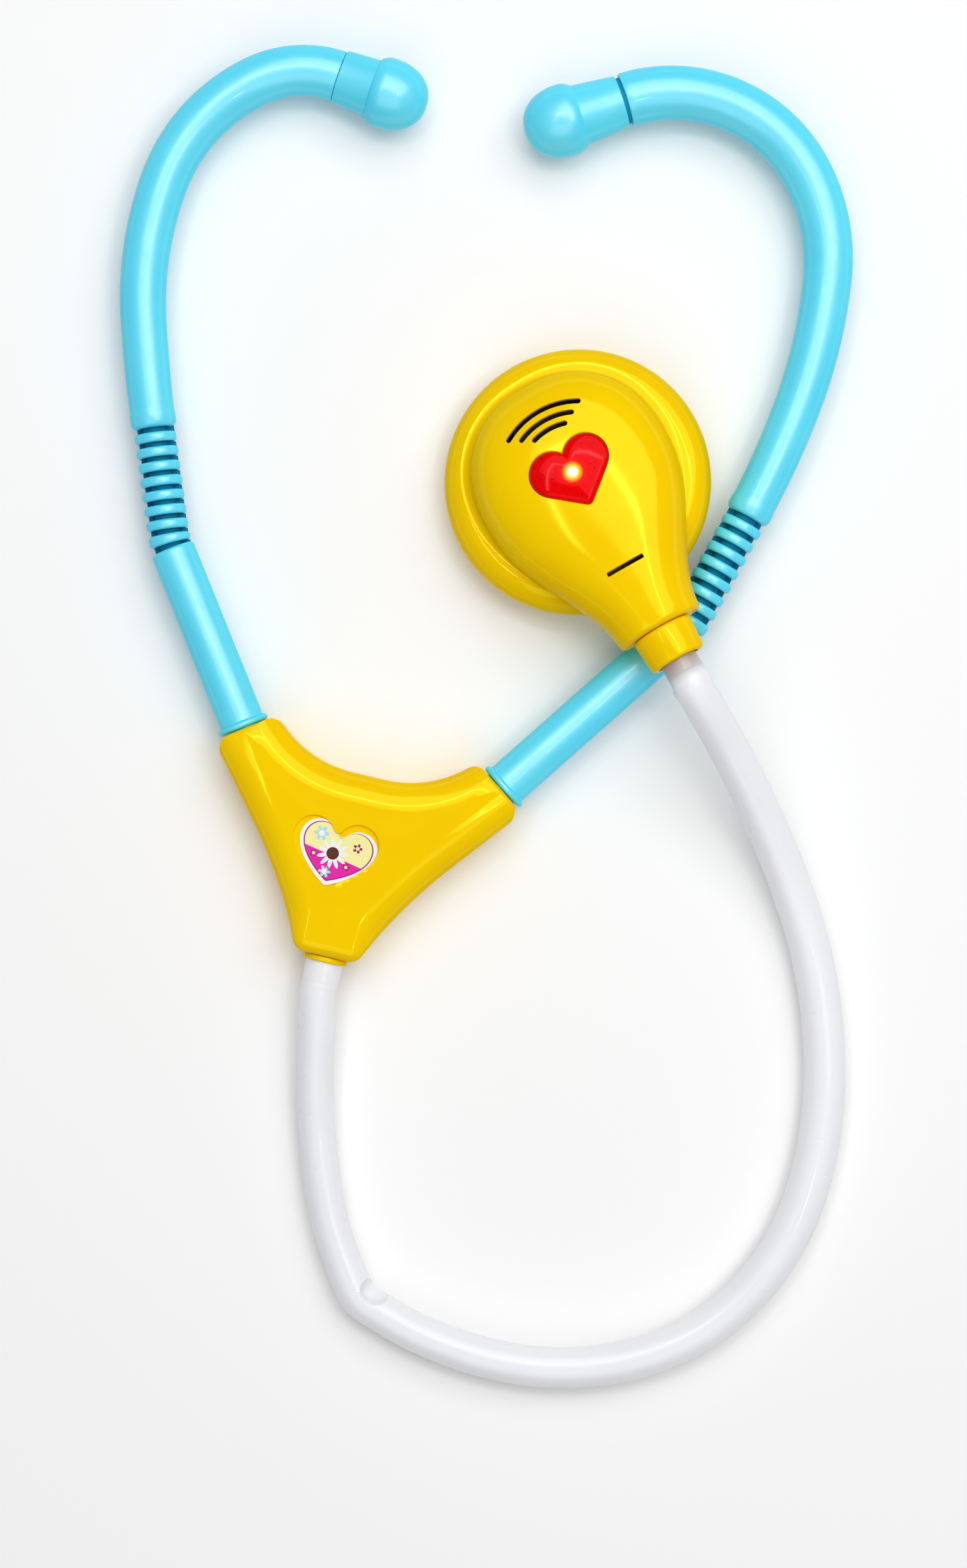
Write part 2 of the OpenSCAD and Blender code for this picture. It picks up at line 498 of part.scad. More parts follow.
module chest_top() color(yellow) at_chest() difference() {
    translate([0, 0, disc_h]) union() {
        polyhedron([for (a = concat(outer_arches, inner_arches)) each a],
            shell_faces(len(outer_arches), arch_m + 1));
        intersection() {
            skin([for (x = shell_x(0.6, 0.6)) arch(x, wide(x, 0.6), high(x, 0.6), square_of(x), 10)]);
            union() {
                for (p = back_screw_at) translate([p[0], p[1], 0]) cylinder(h = 30, r = 2.8);
                difference() {
                    translate([speaker_x, 0, 2]) cylinder(h = 20, r = 9.2);
                    translate([speaker_x, 0, 1]) cylinder(h = 30, r = 8.1);
                    translate([-9, -20, 0]) cube([40, 40, 30]);
                }
            }
        }
    }
    for (p = back_screw_at) translate([p[0], p[1], disc_h - 1]) cylinder(h = 8, r = 1.25);
    translate([face_x, 0, face_z - 4]) rotate([0, 0, 90]) linear_extrude(8) polygon((heart_w + heart_gap) * heart);
    for (s = slot_at) translate([face_x, 0, disc_h + 5]) {
        rotate([0, 0, 180 - s[1]]) rotate_extrude(angle = 2 * s[1]) translate([s[0] - slot_w / 2, 0])
            square([slot_w, 12]);
        for (a = [180 - s[1], 180 + s[1]]) rotate([0, 0, a]) translate([s[0], 0, 0]) cylinder(h = 12, r = slot_w / 2);
    }
    translate([slit_x, 0, disc_h + 14]) cube([1.1, slit_l, 8], center = true);
    collar_hole();
}

// Hose collar held between the shells, with a barb for the hose
module chest_collar() color(yellow) at_chest() translate([shoulder_x, 0, neck_z]) rotate([0, 90, 0]) difference() {
    union() {
        translate([0, 0, -4.6]) cylinder(h = 2, r = 7.2);
        translate([0, 0, -3]) cylinder(h = 4, r = 5.5);
        translate([0, 0, 0.15]) cylinder(h = collar_end - shoulder_x - 0.15, r1 = collar_r, r2 = collar_r - 0.6);
    }
    translate([0, 0, -6]) cylinder(h = 20, r = 1.6);
    difference() {
        translate([0, 0, collar_end - shoulder_x - hose_in]) cylinder(h = 10, r = hose_r + 0.12);
        translate([0, 0, 0]) cylinder(h = 30, r = plug_r);
    }
}

// Back plate with the battery box and two board posts
module chest_back() color(yellow) at_chest() difference() {
    union() {
        translate([0, 0, door_z]) cylinder(h = 2.2, r = plate_r);
        translate([-room_l / 2 - box_wall, -room_w / 2 - box_wall, door_z + door_t])
            cube([room_l + 2 * box_wall, room_w + 2 * box_wall, box_top - door_z - door_t]);
        translate([0, lug_y, 2]) cylinder(h = 6, r = lug_r - 0.5);
        for (y = [-6, 6]) translate([-1.2, y, box_top - 1.2]) cylinder(h = disc_h - box_top + 1.2, r = 1.3);
    }
    translate([-room_l / 2, -room_w / 2, -1]) cube([room_l, room_w, box_top - 0.2]);
    translate([-room_l / 2 - box_wall - 0.1, -room_w / 2 - box_wall - 0.1, -1])
        cube([room_l + 2 * box_wall + 0.2, room_w + 2 * box_wall + 0.2, door_z + door_t + 1.1]);
    translate([0, lug_y, -1]) cylinder(h = door_z + door_t + 1.1, r = lug_r + 0.2);
    translate([0, lug_y, 0]) cylinder(h = 7, r = 1.05);
    for (p = back_screw_at) translate([p[0], p[1], -1]) {
        cylinder(h = 10, r = 1.3);
        cylinder(h = 2.9, r = 2.4);
    }
}

module back_screws() color(steel) at_chest() for (p = back_screw_at) translate([p[0], p[1], 0.5]) difference() {
    union() {
        cylinder(h = 1.4, r = 2.2);
        cylinder(h = disc_h + 5, r = 1.2);
    }
    for (a = [0, 90]) rotate([0, 0, a]) translate([0, 0, 0.1]) cube([2.8, 0.6, 1.2], center = true);
}

module battery_door() color(yellow) at_chest() difference() {
    union() {
        translate([-room_l / 2 - box_wall + 0.1, -room_w / 2 - box_wall + 0.1, door_z])
            cube([room_l + 2 * box_wall - 0.2, room_w + 2 * box_wall - 0.2, door_t]);
        translate([0, lug_y, door_z]) cylinder(h = door_t, r = lug_r);
    }
    translate([0, lug_y, 0]) cylinder(h = 5, r = 1.15);
    translate([0, lug_y, 0]) cylinder(h = door_z + 0.7, r = 2.1);
}

module door_screw() color(steel) at_chest() translate([0, lug_y, door_z - 0.2]) difference() {
    union() {
        cylinder(h = 0.85, r = 1.9);
        cylinder(h = 6, r = 1);
    }
    for (a = [0, 90]) rotate([0, 0, a]) cube([2.4, 0.5, 0.8], center = true);
}

module battery_cells() color(steel) at_chest() for (x = cell_at) translate([x, 0, cell_z]) {
    cylinder(h = cell_h - 0.6, r = cell_r);
    cylinder(h = cell_h, r = cell_r - 0.8);
}

// Spring leaves that join the cells, on the roof of the battery box
module battery_contacts() color([0.8, 0.72, 0.5]) at_chest() for (c = [[cell_at[0] / 2, 16], [cell_at[2], 6]])
    translate([c[0], 0, cell_z + cell_h + 0.3]) {
        translate([-c[1] / 2, -2.5, 0]) cube([c[1], 5, 0.5]);
        translate([-1.5, -1.5, 0.4]) cube([3, 3, box_top - 1.2 - cell_z - cell_h - 0.7]);
    }

module circuit_board() color([0.1, 0.45, 0.2]) at_chest() {
    difference() {
        translate([-3, -10.5, disc_h + 0.05]) cube([24.4, 21, 1.5]);
        for (y = [-6, 6]) translate([-1.2, y, disc_h - 1]) cylinder(h = 5, r = 0.8);
    }
    translate([11, -4, disc_h + 1.5]) cube([7, 8, 1.4]);
}

module led() color([0.95, 0.95, 0.9]) at_chest() translate([face_x - 1.8, 0, disc_h + 1.55]) {
    cylinder(h = 1, r = 1.9);
    cylinder(h = 3.6, r = 1.5);
    translate([0, 0, 3.6]) sphere(1.5);
}

// Soft spring pad around the lamp that carries the button
module button_pad() color([0.85, 0.85, 0.85]) at_chest() translate([face_x - 1.8, 0, disc_h + 1.55])
    rotate_extrude() polygon([[2.6, 0], [5.6, 0], [5.6, 0.8], [4.6, 0.8], [4.2, 6.4], [2.6, 6.4], [2.6, 5.2],
        [3.4, 5], [3.7, 0.9], [2.6, 0.9]]);

// Heart lens with a skirt that rests on the pad and a rim that stays under the shell
module heart_button() color([0.9, 0.05, 0.12]) at_chest() translate([face_x, 0, 0]) rotate([0, 0, 90]) difference() {
    union() {
        skin(concat([at_z(heart_w * heart, face_z - 4.2)], [for (s = [[1, -0.9], [0.97, -0.45], [0.88, -0.05],
            [0.7, 0.3], [0.4, 0.5]]) at_z(s[0] * heart_w * heart, face_z + s[1])]));
        translate([0, 0, face_z - 4.2]) linear_extrude(1.2) polygon((heart_w + 1.3) * heart);
        translate([0, 1.8, disc_h + 8]) cylinder(h = face_z - 4 - disc_h - 8, r = 4.4);
    }
    translate([0, 1.8, disc_h]) cylinder(h = face_z - 2.2 - disc_h, r = 3.2);
}

// Small loudspeaker under the slots: basket and magnet, with a paper cone on top
module speaker() color([0.3, 0.3, 0.32]) at_chest() translate([speaker_x, 0, disc_h + 0.4]) difference() {
    union() {
        cylinder(h = 2, r = 4.4);
        translate([0, 0, 2]) cylinder(h = 3, r = 8);
    }
    translate([0, 0, 3]) cylinder(h = 3, r = 7);
}

module speaker_cone() color([0.15, 0.15, 0.15]) at_chest() translate([speaker_x, 0, disc_h + 3.4])
    rotate_extrude() polygon([[0, 0], [2.2, 0], [6.9, 1.5], [6.9, 1.9], [2.4, 0.5], [0, 1]]);

yoke_back();
yoke_front();
yoke_screws();
yoke_badge();
yoke_bush();
left_lower_tube();
left_neck();
left_upper_tube();
left_ear_tip();
right_lower_tube();
right_neck();
right_upper_tube();
right_ear_tip();
hose();
chest_base();
chest_top();
chest_collar();
chest_back();
back_screws();
battery_door();
door_screw();
battery_cells();
battery_contacts();
circuit_board();
led();
button_pad();
heart_button();
speaker();
speaker_cone();
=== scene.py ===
# Toy stethoscope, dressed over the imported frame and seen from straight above.
# Sizes are in millimetres until a mesh is made, and +Y runs up the middle of the yoke.
from math import acos, atan2, cos, degrees, hypot, pi, radians, sin, tan

import bmesh
import bpy
import numpy as np
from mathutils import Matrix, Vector
from mathutils.geometry import delaunay_2d_cdt


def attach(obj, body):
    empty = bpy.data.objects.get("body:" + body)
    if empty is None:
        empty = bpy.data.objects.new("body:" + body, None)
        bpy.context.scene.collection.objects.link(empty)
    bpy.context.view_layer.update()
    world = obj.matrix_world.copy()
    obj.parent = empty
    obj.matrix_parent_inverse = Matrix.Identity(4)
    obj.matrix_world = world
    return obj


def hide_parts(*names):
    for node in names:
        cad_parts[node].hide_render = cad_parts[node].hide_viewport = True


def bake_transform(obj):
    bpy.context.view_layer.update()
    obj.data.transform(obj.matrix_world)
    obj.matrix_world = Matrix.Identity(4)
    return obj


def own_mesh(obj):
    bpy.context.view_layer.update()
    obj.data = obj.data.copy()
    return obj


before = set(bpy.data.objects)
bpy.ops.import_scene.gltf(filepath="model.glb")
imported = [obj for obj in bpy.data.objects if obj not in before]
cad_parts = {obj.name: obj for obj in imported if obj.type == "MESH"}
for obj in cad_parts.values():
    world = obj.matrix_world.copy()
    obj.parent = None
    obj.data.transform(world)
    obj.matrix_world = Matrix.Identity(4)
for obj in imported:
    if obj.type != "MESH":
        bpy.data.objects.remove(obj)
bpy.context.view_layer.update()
scene = bpy.context.scene
MM = 0.001

# Camera: straight above the toy and turned a little, as the photograph was taken.
# A long lens keeps the tubes and the housing from leaning outward.
camera = bpy.data.objects.new("camera", bpy.data.cameras.new("camera"))
camera.location = (0.02664, 0.04406, 0.9)
camera.rotation_euler = (0, 0, radians(13.3))
camera.data.lens = 87.25
scene.collection.objects.link(camera)
scene.camera = camera
scene.view_settings.view_transform = "Standard"

# Light tent: a wide soft panel toward the ear tips, a weaker one toward the hose, and a pale sky.
# Thin strips and a small lamp overhead are what the glossy plastic shows as narrow white lines.
def area_light(name, place, size, power, aim=None):
    """A rectangular lamp that faces straight down, or toward a place."""
    lamp = bpy.data.lights.new(name, "AREA")
    lamp.shape = "RECTANGLE"
    lamp.size, lamp.size_y = size
    lamp.energy = power
    holder = bpy.data.objects.new(name, lamp)
    holder.location = place
    if aim:
        holder.rotation_euler = (Vector(aim) - Vector(place)).to_track_quat("-Z", "Y").to_euler()
    scene.collection.objects.link(holder)


toy_middle = (0.03, 0.05, 0)
area_light("panel", (0.18, 0.64, 1.15), (1.5, 1.1), 11.2, aim=toy_middle)
area_light("panel_low", (0.1, -0.75, 1.2), (1.2, 0.9), 3.8, aim=toy_middle)
area_light("strip_top", (0.03, 0.4, 1.0), (0.64, 0.03), 0.85)
area_light("strip_left", (-0.3, 0.16, 1.0), (0.014, 0.5), 0.5)
area_light("strip_right", (0.36, 0.18, 1.0), (0.025, 0.42), 0.5)
area_light("lamp_small", (0.3, -0.12, 1.0), (0.05, 0.05), 0.2)

world = bpy.data.worlds.new("tent")
scene.world = world
world.use_nodes = True
sky = world.node_tree
height = sky.nodes.new("ShaderNodeSeparateXYZ")
fade = sky.nodes.new("ShaderNodeMapRange")
sky.links.new(sky.nodes.new("ShaderNodeTexCoord").outputs["Generated"], height.inputs["Vector"])
sky.links.new(height.outputs["Z"], fade.inputs["Value"])
for socket, value in {"From Min": 0.0, "From Max": 0.8, "To Min": 0.14, "To Max": 0.29}.items():
    fade.inputs[socket].default_value = value
sky.links.new(fade.outputs["Result"], sky.nodes["Background"].inputs["Strength"])
sky.nodes["Background"].inputs["Color"].default_value = (1, 1, 1, 1)

# Floor: a plain white sheet just under the toy.
# It keeps the toy's soft shadow and is no part of the model.
floor_z = -0.0002
sheet = bpy.data.meshes.new("floor")
sheet.from_pydata([(-2, -2, floor_z), (2, -2, floor_z), (2, 2, floor_z), (-2, 2, floor_z)], [],
                  [(0, 1, 2, 3)])
floor = bpy.data.objects.new("floor", sheet)
scene.collection.objects.link(floor)
paper = bpy.data.materials.new("floor_paper")
paper.use_nodes = True
paper_sockets = paper.node_tree.nodes["Principled BSDF"].inputs
paper_sockets["Base Color"].default_value = (0.95, 0.95, 0.95, 1)
paper_sockets["Roughness"].default_value = 0.9
paper_sockets["Specular IOR Level"].default_value = 0.05
sheet.materials.append(paper)

# Hose: soft white vinyl tube, drawn a little thinner at the yoke and pressed over a barb at both ends.
# It was folded once near the bottom, and the fold left a dent on the inner side of the bend.
axis_h = 8.6
hose_bore = 3.25
bush_end = -5
disc_r = 31.3
disc_h = 13
rim_w = 4.6
rim_c = disc_r - rim_w
tilt, roll, turn = radians(5.5), radians(3), radians(-47.5)
chest_at = np.array([32.46, 117.72, rim_c * sin(acos(cos(tilt) * cos(roll))) + 0.02])
ahead = np.array([cos(tilt) * cos(turn), cos(tilt) * sin(turn), sin(tilt)])
across = np.array([-sin(turn), cos(turn), 0])
above = np.array([-sin(tilt) * cos(turn), -sin(tilt) * sin(turn), cos(tilt)])
chest_axes = np.array([ahead, cos(roll) * across + sin(roll) * above, cos(roll) * above - sin(roll) * across])
shoulder_x = 40.8
collar_end = shoulder_x + 8.4
neck_z = disc_h + 3.5


def in_chest(points):
    """Points of the chest piece's own frame, placed in the whole toy."""
    return chest_at + np.asarray(points, float) @ chest_axes


hose_way = [[0, bush_end, axis_h], [0, bush_end - 4, axis_h], [0.2, -13, 8.5],
            [1.8, -20.5, 7.8], [4, -32, 6.2], [7.2, -44, 5.1], [11.5, -56.5, 4.8], [16.5, -67, 4.8],
            [22.6, -76.3, 4.8], [26, -80.2, 4.8], [31, -82.4, 4.8], [42.5, -85.6, 4.8], [58.5, -87.3, 4.8],
            [75, -85.8, 4.8], [91.5, -80, 4.8], [105.5, -70.2, 4.8], [115.5, -57, 4.8], [121.5, -41, 4.8],
            [123, -24.5, 4.8], [121.4, -8, 4.8], [117, 8.4, 4.8], [110.4, 24, 5.3], [101.7, 38.4, 7.6],
            [91.5, 52, 12.4], [80.4, 64.9, 18.4]]
hose_way += in_chest([[collar_end + x, 0, neck_z] for x in (9, 3, -3)]).tolist()
kink_at = 9
kink_long = 4.6
kink_deep = 2.8
kink_past = 1.2
kink_turn = radians(56)
kink_wide = radians(47)
swell_up = 0.42
swell_back = 9.3


def smooth_line(way, steps):
    """A smooth curve through all the way points, with so many steps in each stretch."""
    way = np.array(way, float)
    line = []
    for i, n in enumerate(steps):
        a, b, c, d = way[max(i - 1, 0)], way[i], way[i + 1], way[min(i + 2, len(way) - 1)]
        for t in np.arange(n) / n:
            line.append(b + t * (0.5 * (c - a) + t * (a - 2.5 * b + 2 * c - 0.5 * d
                                                      + t * (1.5 * (b - c) + 0.5 * (d - a)))))
    return np.array(line + [way[-1]])


def unit(v):
    return v / np.linalg.norm(v)


def loft(rings, closed=False):
    """A skin over rings of points, joined end to end when closed and capped at both ends when not."""
    n, m = len(rings), len(rings[0])
    faces = [((i * m) + j, i * m + (j + 1) % m, (i + 1) % n * m + (j + 1) % m, (i + 1) % n * m + j)
             for i in range(n if closed else n - 1) for j in range(m)]
    if not closed:
        faces += [tuple(range(m)), tuple(range((n - 1) * m, n * m))]
    return np.concatenate(rings), faces


def make_piece(name, shape, finish, body=None, nodes=(), crease=32):
    """A smooth mesh piece that rides on a body and stands for its CAD nodes."""
    points, faces = shape
    mesh = bpy.data.meshes.new(name)
    mesh.from_pydata((np.asarray(points) * MM).tolist(), [], faces)
    work = bmesh.new()
    work.from_mesh(mesh)
    bmesh.ops.remove_doubles(work, verts=work.verts, dist=2e-7)
    bmesh.ops.recalc_face_normals(work, faces=work.faces)
    work.to_mesh(mesh)
    work.free()
    mesh.shade_smooth()
    mesh.set_sharp_from_angle(angle=radians(crease))
    mesh.materials.append(finish)
    piece = bpy.data.objects.new(name, mesh)
    scene.collection.objects.link(piece)
    if body:
        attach(piece, body)
    if nodes:
        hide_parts(*nodes)
    return piece


def mixed(tree, factor, first, second):
    """A colour that goes from one tone to another by a factor."""
    mix = tree.nodes.new("ShaderNodeMix")
    mix.data_type = "RGBA"
    for socket, value in (("Factor_Float", factor), ("A_Color", first), ("B_Color", second)):
        end = next(s for s in mix.inputs if s.identifier == socket)
        if isinstance(value, tuple):
            end.default_value = (*value, 1)
        else:
            tree.links.new(value, end)
    return next(s for s in mix.outputs if s.identifier == "Result_Color")


def ranged(tree, value, low, high, to_low, to_high):
    """A value carried from one range to another, and held at its ends."""
    span = tree.nodes.new("ShaderNodeMapRange")
    tree.links.new(value, span.inputs["Value"])
    for socket, number in (("From Min", low), ("From Max", high), ("To Min", to_low), ("To Max", to_high)):
        span.inputs[socket].default_value = number
    return span.outputs["Result"]


def noise(tree, scale, detail=2):
    """Noise in the piece's own place, so that it moves with the piece."""
    grain = tree.nodes.new("ShaderNodeTexNoise")
    grain.inputs["Scale"].default_value = scale
    grain.inputs["Detail"].default_value = detail
    tree.links.new(tree.nodes.new("ShaderNodeTexCoord").outputs["Object"], grain.inputs["Vector"])
    return grain.outputs["Fac"]


def moulded(name, colour, shade, rough, grain=1400, lift=0.03, **sockets):
    """Moulded material: soft patches of two tones, uneven gloss and a fine grain."""
    material = bpy.data.materials.new(name)
    material.use_nodes = True
    tree = material.node_tree
    shader = tree.nodes["Principled BSDF"]
    tree.links.new(mixed(tree, ranged(tree, noise(tree, 45), 0.35, 0.65, 0, 1), colour, shade),
                   shader.inputs["Base Color"])
    tree.links.new(ranged(tree, noise(tree, 260, 4), 0.3, 0.7, 0.85 * rough, 1.15 * rough),
                   shader.inputs["Roughness"])
    bump = tree.nodes.new("ShaderNodeBump")
    bump.inputs["Strength"].default_value = lift
    bump.inputs["Distance"].default_value = 0.0002
    tree.links.new(noise(tree, grain, 3), bump.inputs["Height"])
    tree.links.new(bump.outputs["Normal"], shader.inputs["Normal"])
    for socket, value in sockets.items():
        shader.inputs[socket.replace("_", " ")].default_value = value
    return material


def soft_sided(material, level):
    """Gloss that fades on the sides, so that a strong colour stays strong up to its edge."""
    tree = material.node_tree
    side = tree.nodes.new("ShaderNodeLayerWeight")
    side.inputs["Blend"].default_value = 0.5
    tree.links.new(ranged(tree, side.outputs["Facing"], 0.12, 0.45, level, 0.01),
                   tree.nodes["Principled BSDF"].inputs["Specular IOR Level"])


vinyl = moulded("hose_vinyl", (0.93, 0.935, 0.97), (0.9, 0.905, 0.95), 0.32, 700, 0.04,
                Specular_IOR_Level=0.4, Coat_Weight=0.3, Coat_Roughness=0.08, Subsurface_Weight=0.2,
                Subsurface_Scale=0.004)
vinyl.node_tree.nodes["Principled BSDF"].inputs["Subsurface Radius"].default_value = (1, 0.95, 0.9)


def distance_from(tree, place):
    """How far a point of the piece lies from one place, in metres."""
    away = tree.nodes.new("ShaderNodeVectorMath")
    away.operation = "DISTANCE"
    away.inputs[1].default_value = place * MM
    tree.links.new(tree.nodes.new("ShaderNodeTexCoord").outputs["Object"], away.inputs[0])
    return away.outputs["Value"]


# Where the hose goes into the collar its wall shows thin, with a brown and then a lavender tint
hose_tree = vinyl.node_tree
hose_tone = hose_tree.nodes["Principled BSDF"].inputs["Base Color"]
from_collar = distance_from(hose_tree, in_chest([collar_end, 0, neck_z]))
tone = hose_tone.links[0].from_socket
for tint_in, tint_out, tint in ((0.0045, 0.0075, (0.6, 0.6, 0.68)), (0.0042, 0.0062, (0.47, 0.37, 0.31))):
    tone = mixed(hose_tree, ranged(hose_tree, from_collar, tint_in, tint_out, 1, 0), tone, tint)
hose_tree.links.new(tone, hose_tone)

# Close steps round the kink and at the collar
hose_steps = [36 if i in (7, 8, 9, 10) else 14 if i > 23 else 8 for i in range(len(hose_way) - 1)]
hose_line = smooth_line(hose_way, hose_steps)
hose_s = np.concatenate([[0], np.cumsum(np.linalg.norm(np.diff(hose_line, axis=0), axis=1))])
hose_length = hose_s[-1]
fold_s = hose_s[sum(hose_steps[:kink_at])]
bite = np.interp(hose_s, [0, 4, 60, 110, 200, 290, hose_length - 13, hose_length - 8, hose_length],
                 [4.5, 4.35, 4.45, 4.7, 4.95, 4.9, 4.65, 4.42, 4.35])
for line_at in (5.2, 6.6):
    bite -= 0.1 * np.exp(-((hose_s - line_at) / 0.35) ** 2)
round_a = np.linspace(-pi, pi, 64, endpoint=False)
outer, inner = [], []
for i, p in enumerate(hose_line):
    along = unit(hose_line[min(i + 1, len(hose_line) - 1)] - hose_line[max(i - 1, 0)])
    up = unit(np.array([0, 0, 1]) - along[2] * along)
    left = np.cross(up, along)
    spokes = np.outer(np.cos(round_a), up) + np.outer(np.sin(round_a), left)
    near = ((hose_s[i] - fold_s - kink_past) / kink_long) ** 2 + ((round_a - kink_turn) / kink_wide) ** 2
    pinch = kink_deep * np.maximum(0, 1 - near) ** 0.7
    swell = swell_up * np.exp(-((hose_s[i] - hose_length + swell_back + 0.6 * np.sin(round_a)) / 1.4) ** 2)
    outer.append(p + (bite[i] + swell - pinch)[:, None] * spokes)
    if i % 4 == 0 or i == len(hose_line) - 1:
        inner.append(p + (hose_bore - 0.8 * pinch)[:, None] * spokes)
hose = make_piece("hose", loft(outer + inner[::-1], closed=True), vinyl, "yoke", ["hose"], 50)

# Yoke: two glossy yellow shells moulded from one outline, screwed together from the back.
# The front half swells like a pillow, with a tighter edge at the arm mouths and a recess for the badge.
arm_angle = radians(35.2)
arm_dir = np.array([sin(arm_angle), cos(arm_angle)])
arm_side = np.array([cos(arm_angle), -sin(arm_angle)])
mouth_d = 53.5
mouth_w = 7.9
yoke_top = axis_h + 7.6
yoke_wall = 2
edge_in = 7
edge_down = 5.8
mouth_edge = 1.9
arm_past = 13
pillow_end = 6.2
crown = 0.3
corner_steps = 14
post_r = 3.2
shaft_bore = 4.55
pocket_r = 5.8
bush_bore = 3.65
shaft_room = 19
pocket_in = 4.9
pocket_out = 2.1
cross_wall = 14
screw_head = 2.6
screw_hole = 1.3
yoke_screw_at = [[-9, 31.5], [9, 31.5], [0, 14]]
yoke_half = [[7.3, -3.6], [15, 12.2], mouth_d * arm_dir + (mouth_w - 0.3) * arm_side,
             mouth_d * arm_dir - (mouth_w + 0.3) * arm_side, [13.7, 39.7]]
half_radii = [3.4, 120, 4, 3.2, 27]
flip = np.array([-1, 1])


def rounded(corners, radii, steps):
    """A closed outline with its corners turned into arcs."""
    corners = [np.array(c, float) for c in corners]
    outline = []
    for i, b in enumerate(corners):
        if radii[i] == 0:
            outline.append(b)
            continue
        u, v = unit(corners[i - 1] - b), unit(corners[(i + 1) % len(corners)] - b)
        half = acos(np.clip(u @ v, -1, 1)) / 2
        middle = b + unit(u + v) * radii[i] / sin(half)
        start, end = b + u * radii[i] / tan(half) - middle, b + v * radii[i] / tan(half) - middle
        first = atan2(start[1], start[0])
        sweep = (atan2(end[1], end[0]) - first + pi) % (2 * pi) - pi
        for a in first + sweep * np.arange(steps + 1) / steps:
            outline.append(middle + radii[i] * np.array([cos(a), sin(a)]))
    return np.array(outline)


def outward(outline):
    """Unit normals of a closed outline that runs anticlockwise."""
    along = np.roll(outline, -1, axis=0) - np.roll(outline, 1, axis=0)
    along /= np.linalg.norm(along, axis=1)[:, None]
    return np.stack([along[:, 1], -along[:, 0]], axis=1)


def at_z(outline, z):
    """An outline laid flat at a height."""
    return np.column_stack([outline, np.broadcast_to(z, len(outline))])


def prism(outline, *levels):
    """A solid through an outline at pairs of height and widening."""
    return loft([at_z(outline + grow * outward(outline), z) for z, grow in levels])


def flat_frame(p, side=1):
    """Centre and cross axes of a tube at x, y and heading of its flat path: side -1 is the left."""
    return (np.array([side * p[0], p[1], axis_h]), np.array([side * cos(p[2]), -sin(p[2]), 0]),
            np.array([0, 0, 1.0]))


def turned(profile, at, sides=48):
    """A skin turned round a path from pairs of place and radius: at gives a place's centre and cross axes."""
    a = np.linspace(0, 2 * pi, sides, endpoint=False)
    rings = []
    for s, r in profile:
        centre, u, v = at(s)
        rings.append(centre + np.outer(r * np.cos(a), u) + np.outer(r * np.sin(a), v))
    return loft(rings, closed=np.max(profile[0][1]) > 0.01)


def carved(shape, *tools, operation="DIFFERENCE"):
    """A shape with tools cut out of it, or joined to it."""
    made = []
    for points, faces in (shape, *tools):
        mesh = bpy.data.meshes.new("tool")
        mesh.from_pydata(np.asarray(points).tolist(), [], faces)
        work = bmesh.new()
        work.from_mesh(mesh)
        bmesh.ops.remove_doubles(work, verts=work.verts, dist=1e-4)
        bmesh.ops.recalc_face_normals(work, faces=work.faces)
        work.to_mesh(mesh)
        work.free()
        made.append(bpy.data.objects.new("tool", mesh))
        scene.collection.objects.link(made[-1])
    for tool in made[1:]:
        cut = made[0].modifiers.new("cut", "BOOLEAN")
        cut.operation = operation
        cut.solver = "EXACT"
        cut.object = tool
    result = bpy.data.meshes.new_from_object(made[0].evaluated_get(bpy.context.evaluated_depsgraph_get()))
    points = np.array([v.co for v in result.vertices])
    faces = [tuple(f.vertices) for f in result.polygons]
    for thing in made:
        bpy.data.meshes.remove(thing.data)
    bpy.data.meshes.remove(result)
    return points, faces


def heart(size, steps=18):
    """A heart of that half-width with its lobes toward +Y."""
    lobe_r, lobe, tip, tip_r = 0.545, np.array([0.455, 0.378]), -0.7, 0.13
    start = atan2(lobe[1] - tip, lobe[0]) - pi + acos(lobe_r / hypot(lobe[0], lobe[1] - tip))
    end = pi - acos(lobe[0] / lobe_r) - radians(3)
    side = [lobe + lobe_r * np.array([cos(a), sin(a)]) for a in np.linspace(start, end, steps)]
    point = [[tip_r * cos(a), tip + tip_r / cos(pi / 2 + start) + tip_r * sin(a)]
             for a in np.linspace(-pi - start, start, 9)]
    return size * np.array(point + side + [flip * p for p in side[::-1]])


def plump_heart(size):
    """A fuller heart of that half-width with a soft valley, its lobes toward +Y."""
    q = np.linspace(0.97, 0.04, 14)[:, None]
    side = (1 - q) ** 2 * [1, 0] + 2 * q * (1 - q) * [1, -0.55] + q ** 2 * [0, -1.087]
    lobe = [[0.516 + 0.484 * cos(a), 0.484 * sin(a)] for a in np.linspace(0, 2.629, 22)]
    valley = [[0.108 * cos(a), 0.29 + 0.108 * sin(a)] for a in np.linspace(-0.512, -pi / 2, 6)[1:]]
    half = np.concatenate([side, lobe, valley])
    return size * np.concatenate([[[0, -1.075]], half, (half * flip)[-2::-1]])


yellow = moulded("yellow_gloss", (0.98, 0.65, 0.0), (0.97, 0.61, 0.0), 0.12, 1800, 0.008,
                 Specular_Tint=(1, 0.92, 0.08, 1))
soft_sided(yellow, 0.9)


def both_sides(half, radii, steps):
    """A whole outline from its +X half."""
    half = [np.array(p, float) for p in half]
    return rounded(half + [flip * p for p in half[::-1]], radii + radii[::-1], steps)


def past(a, b):
    """A point carried on along a line beyond its end."""
    return np.array(b) + arm_past * unit(np.array(b) - np.array(a))


yoke_outline = both_sides(yoke_half, half_radii, corner_steps)
yoke_normal = outward(yoke_outline)
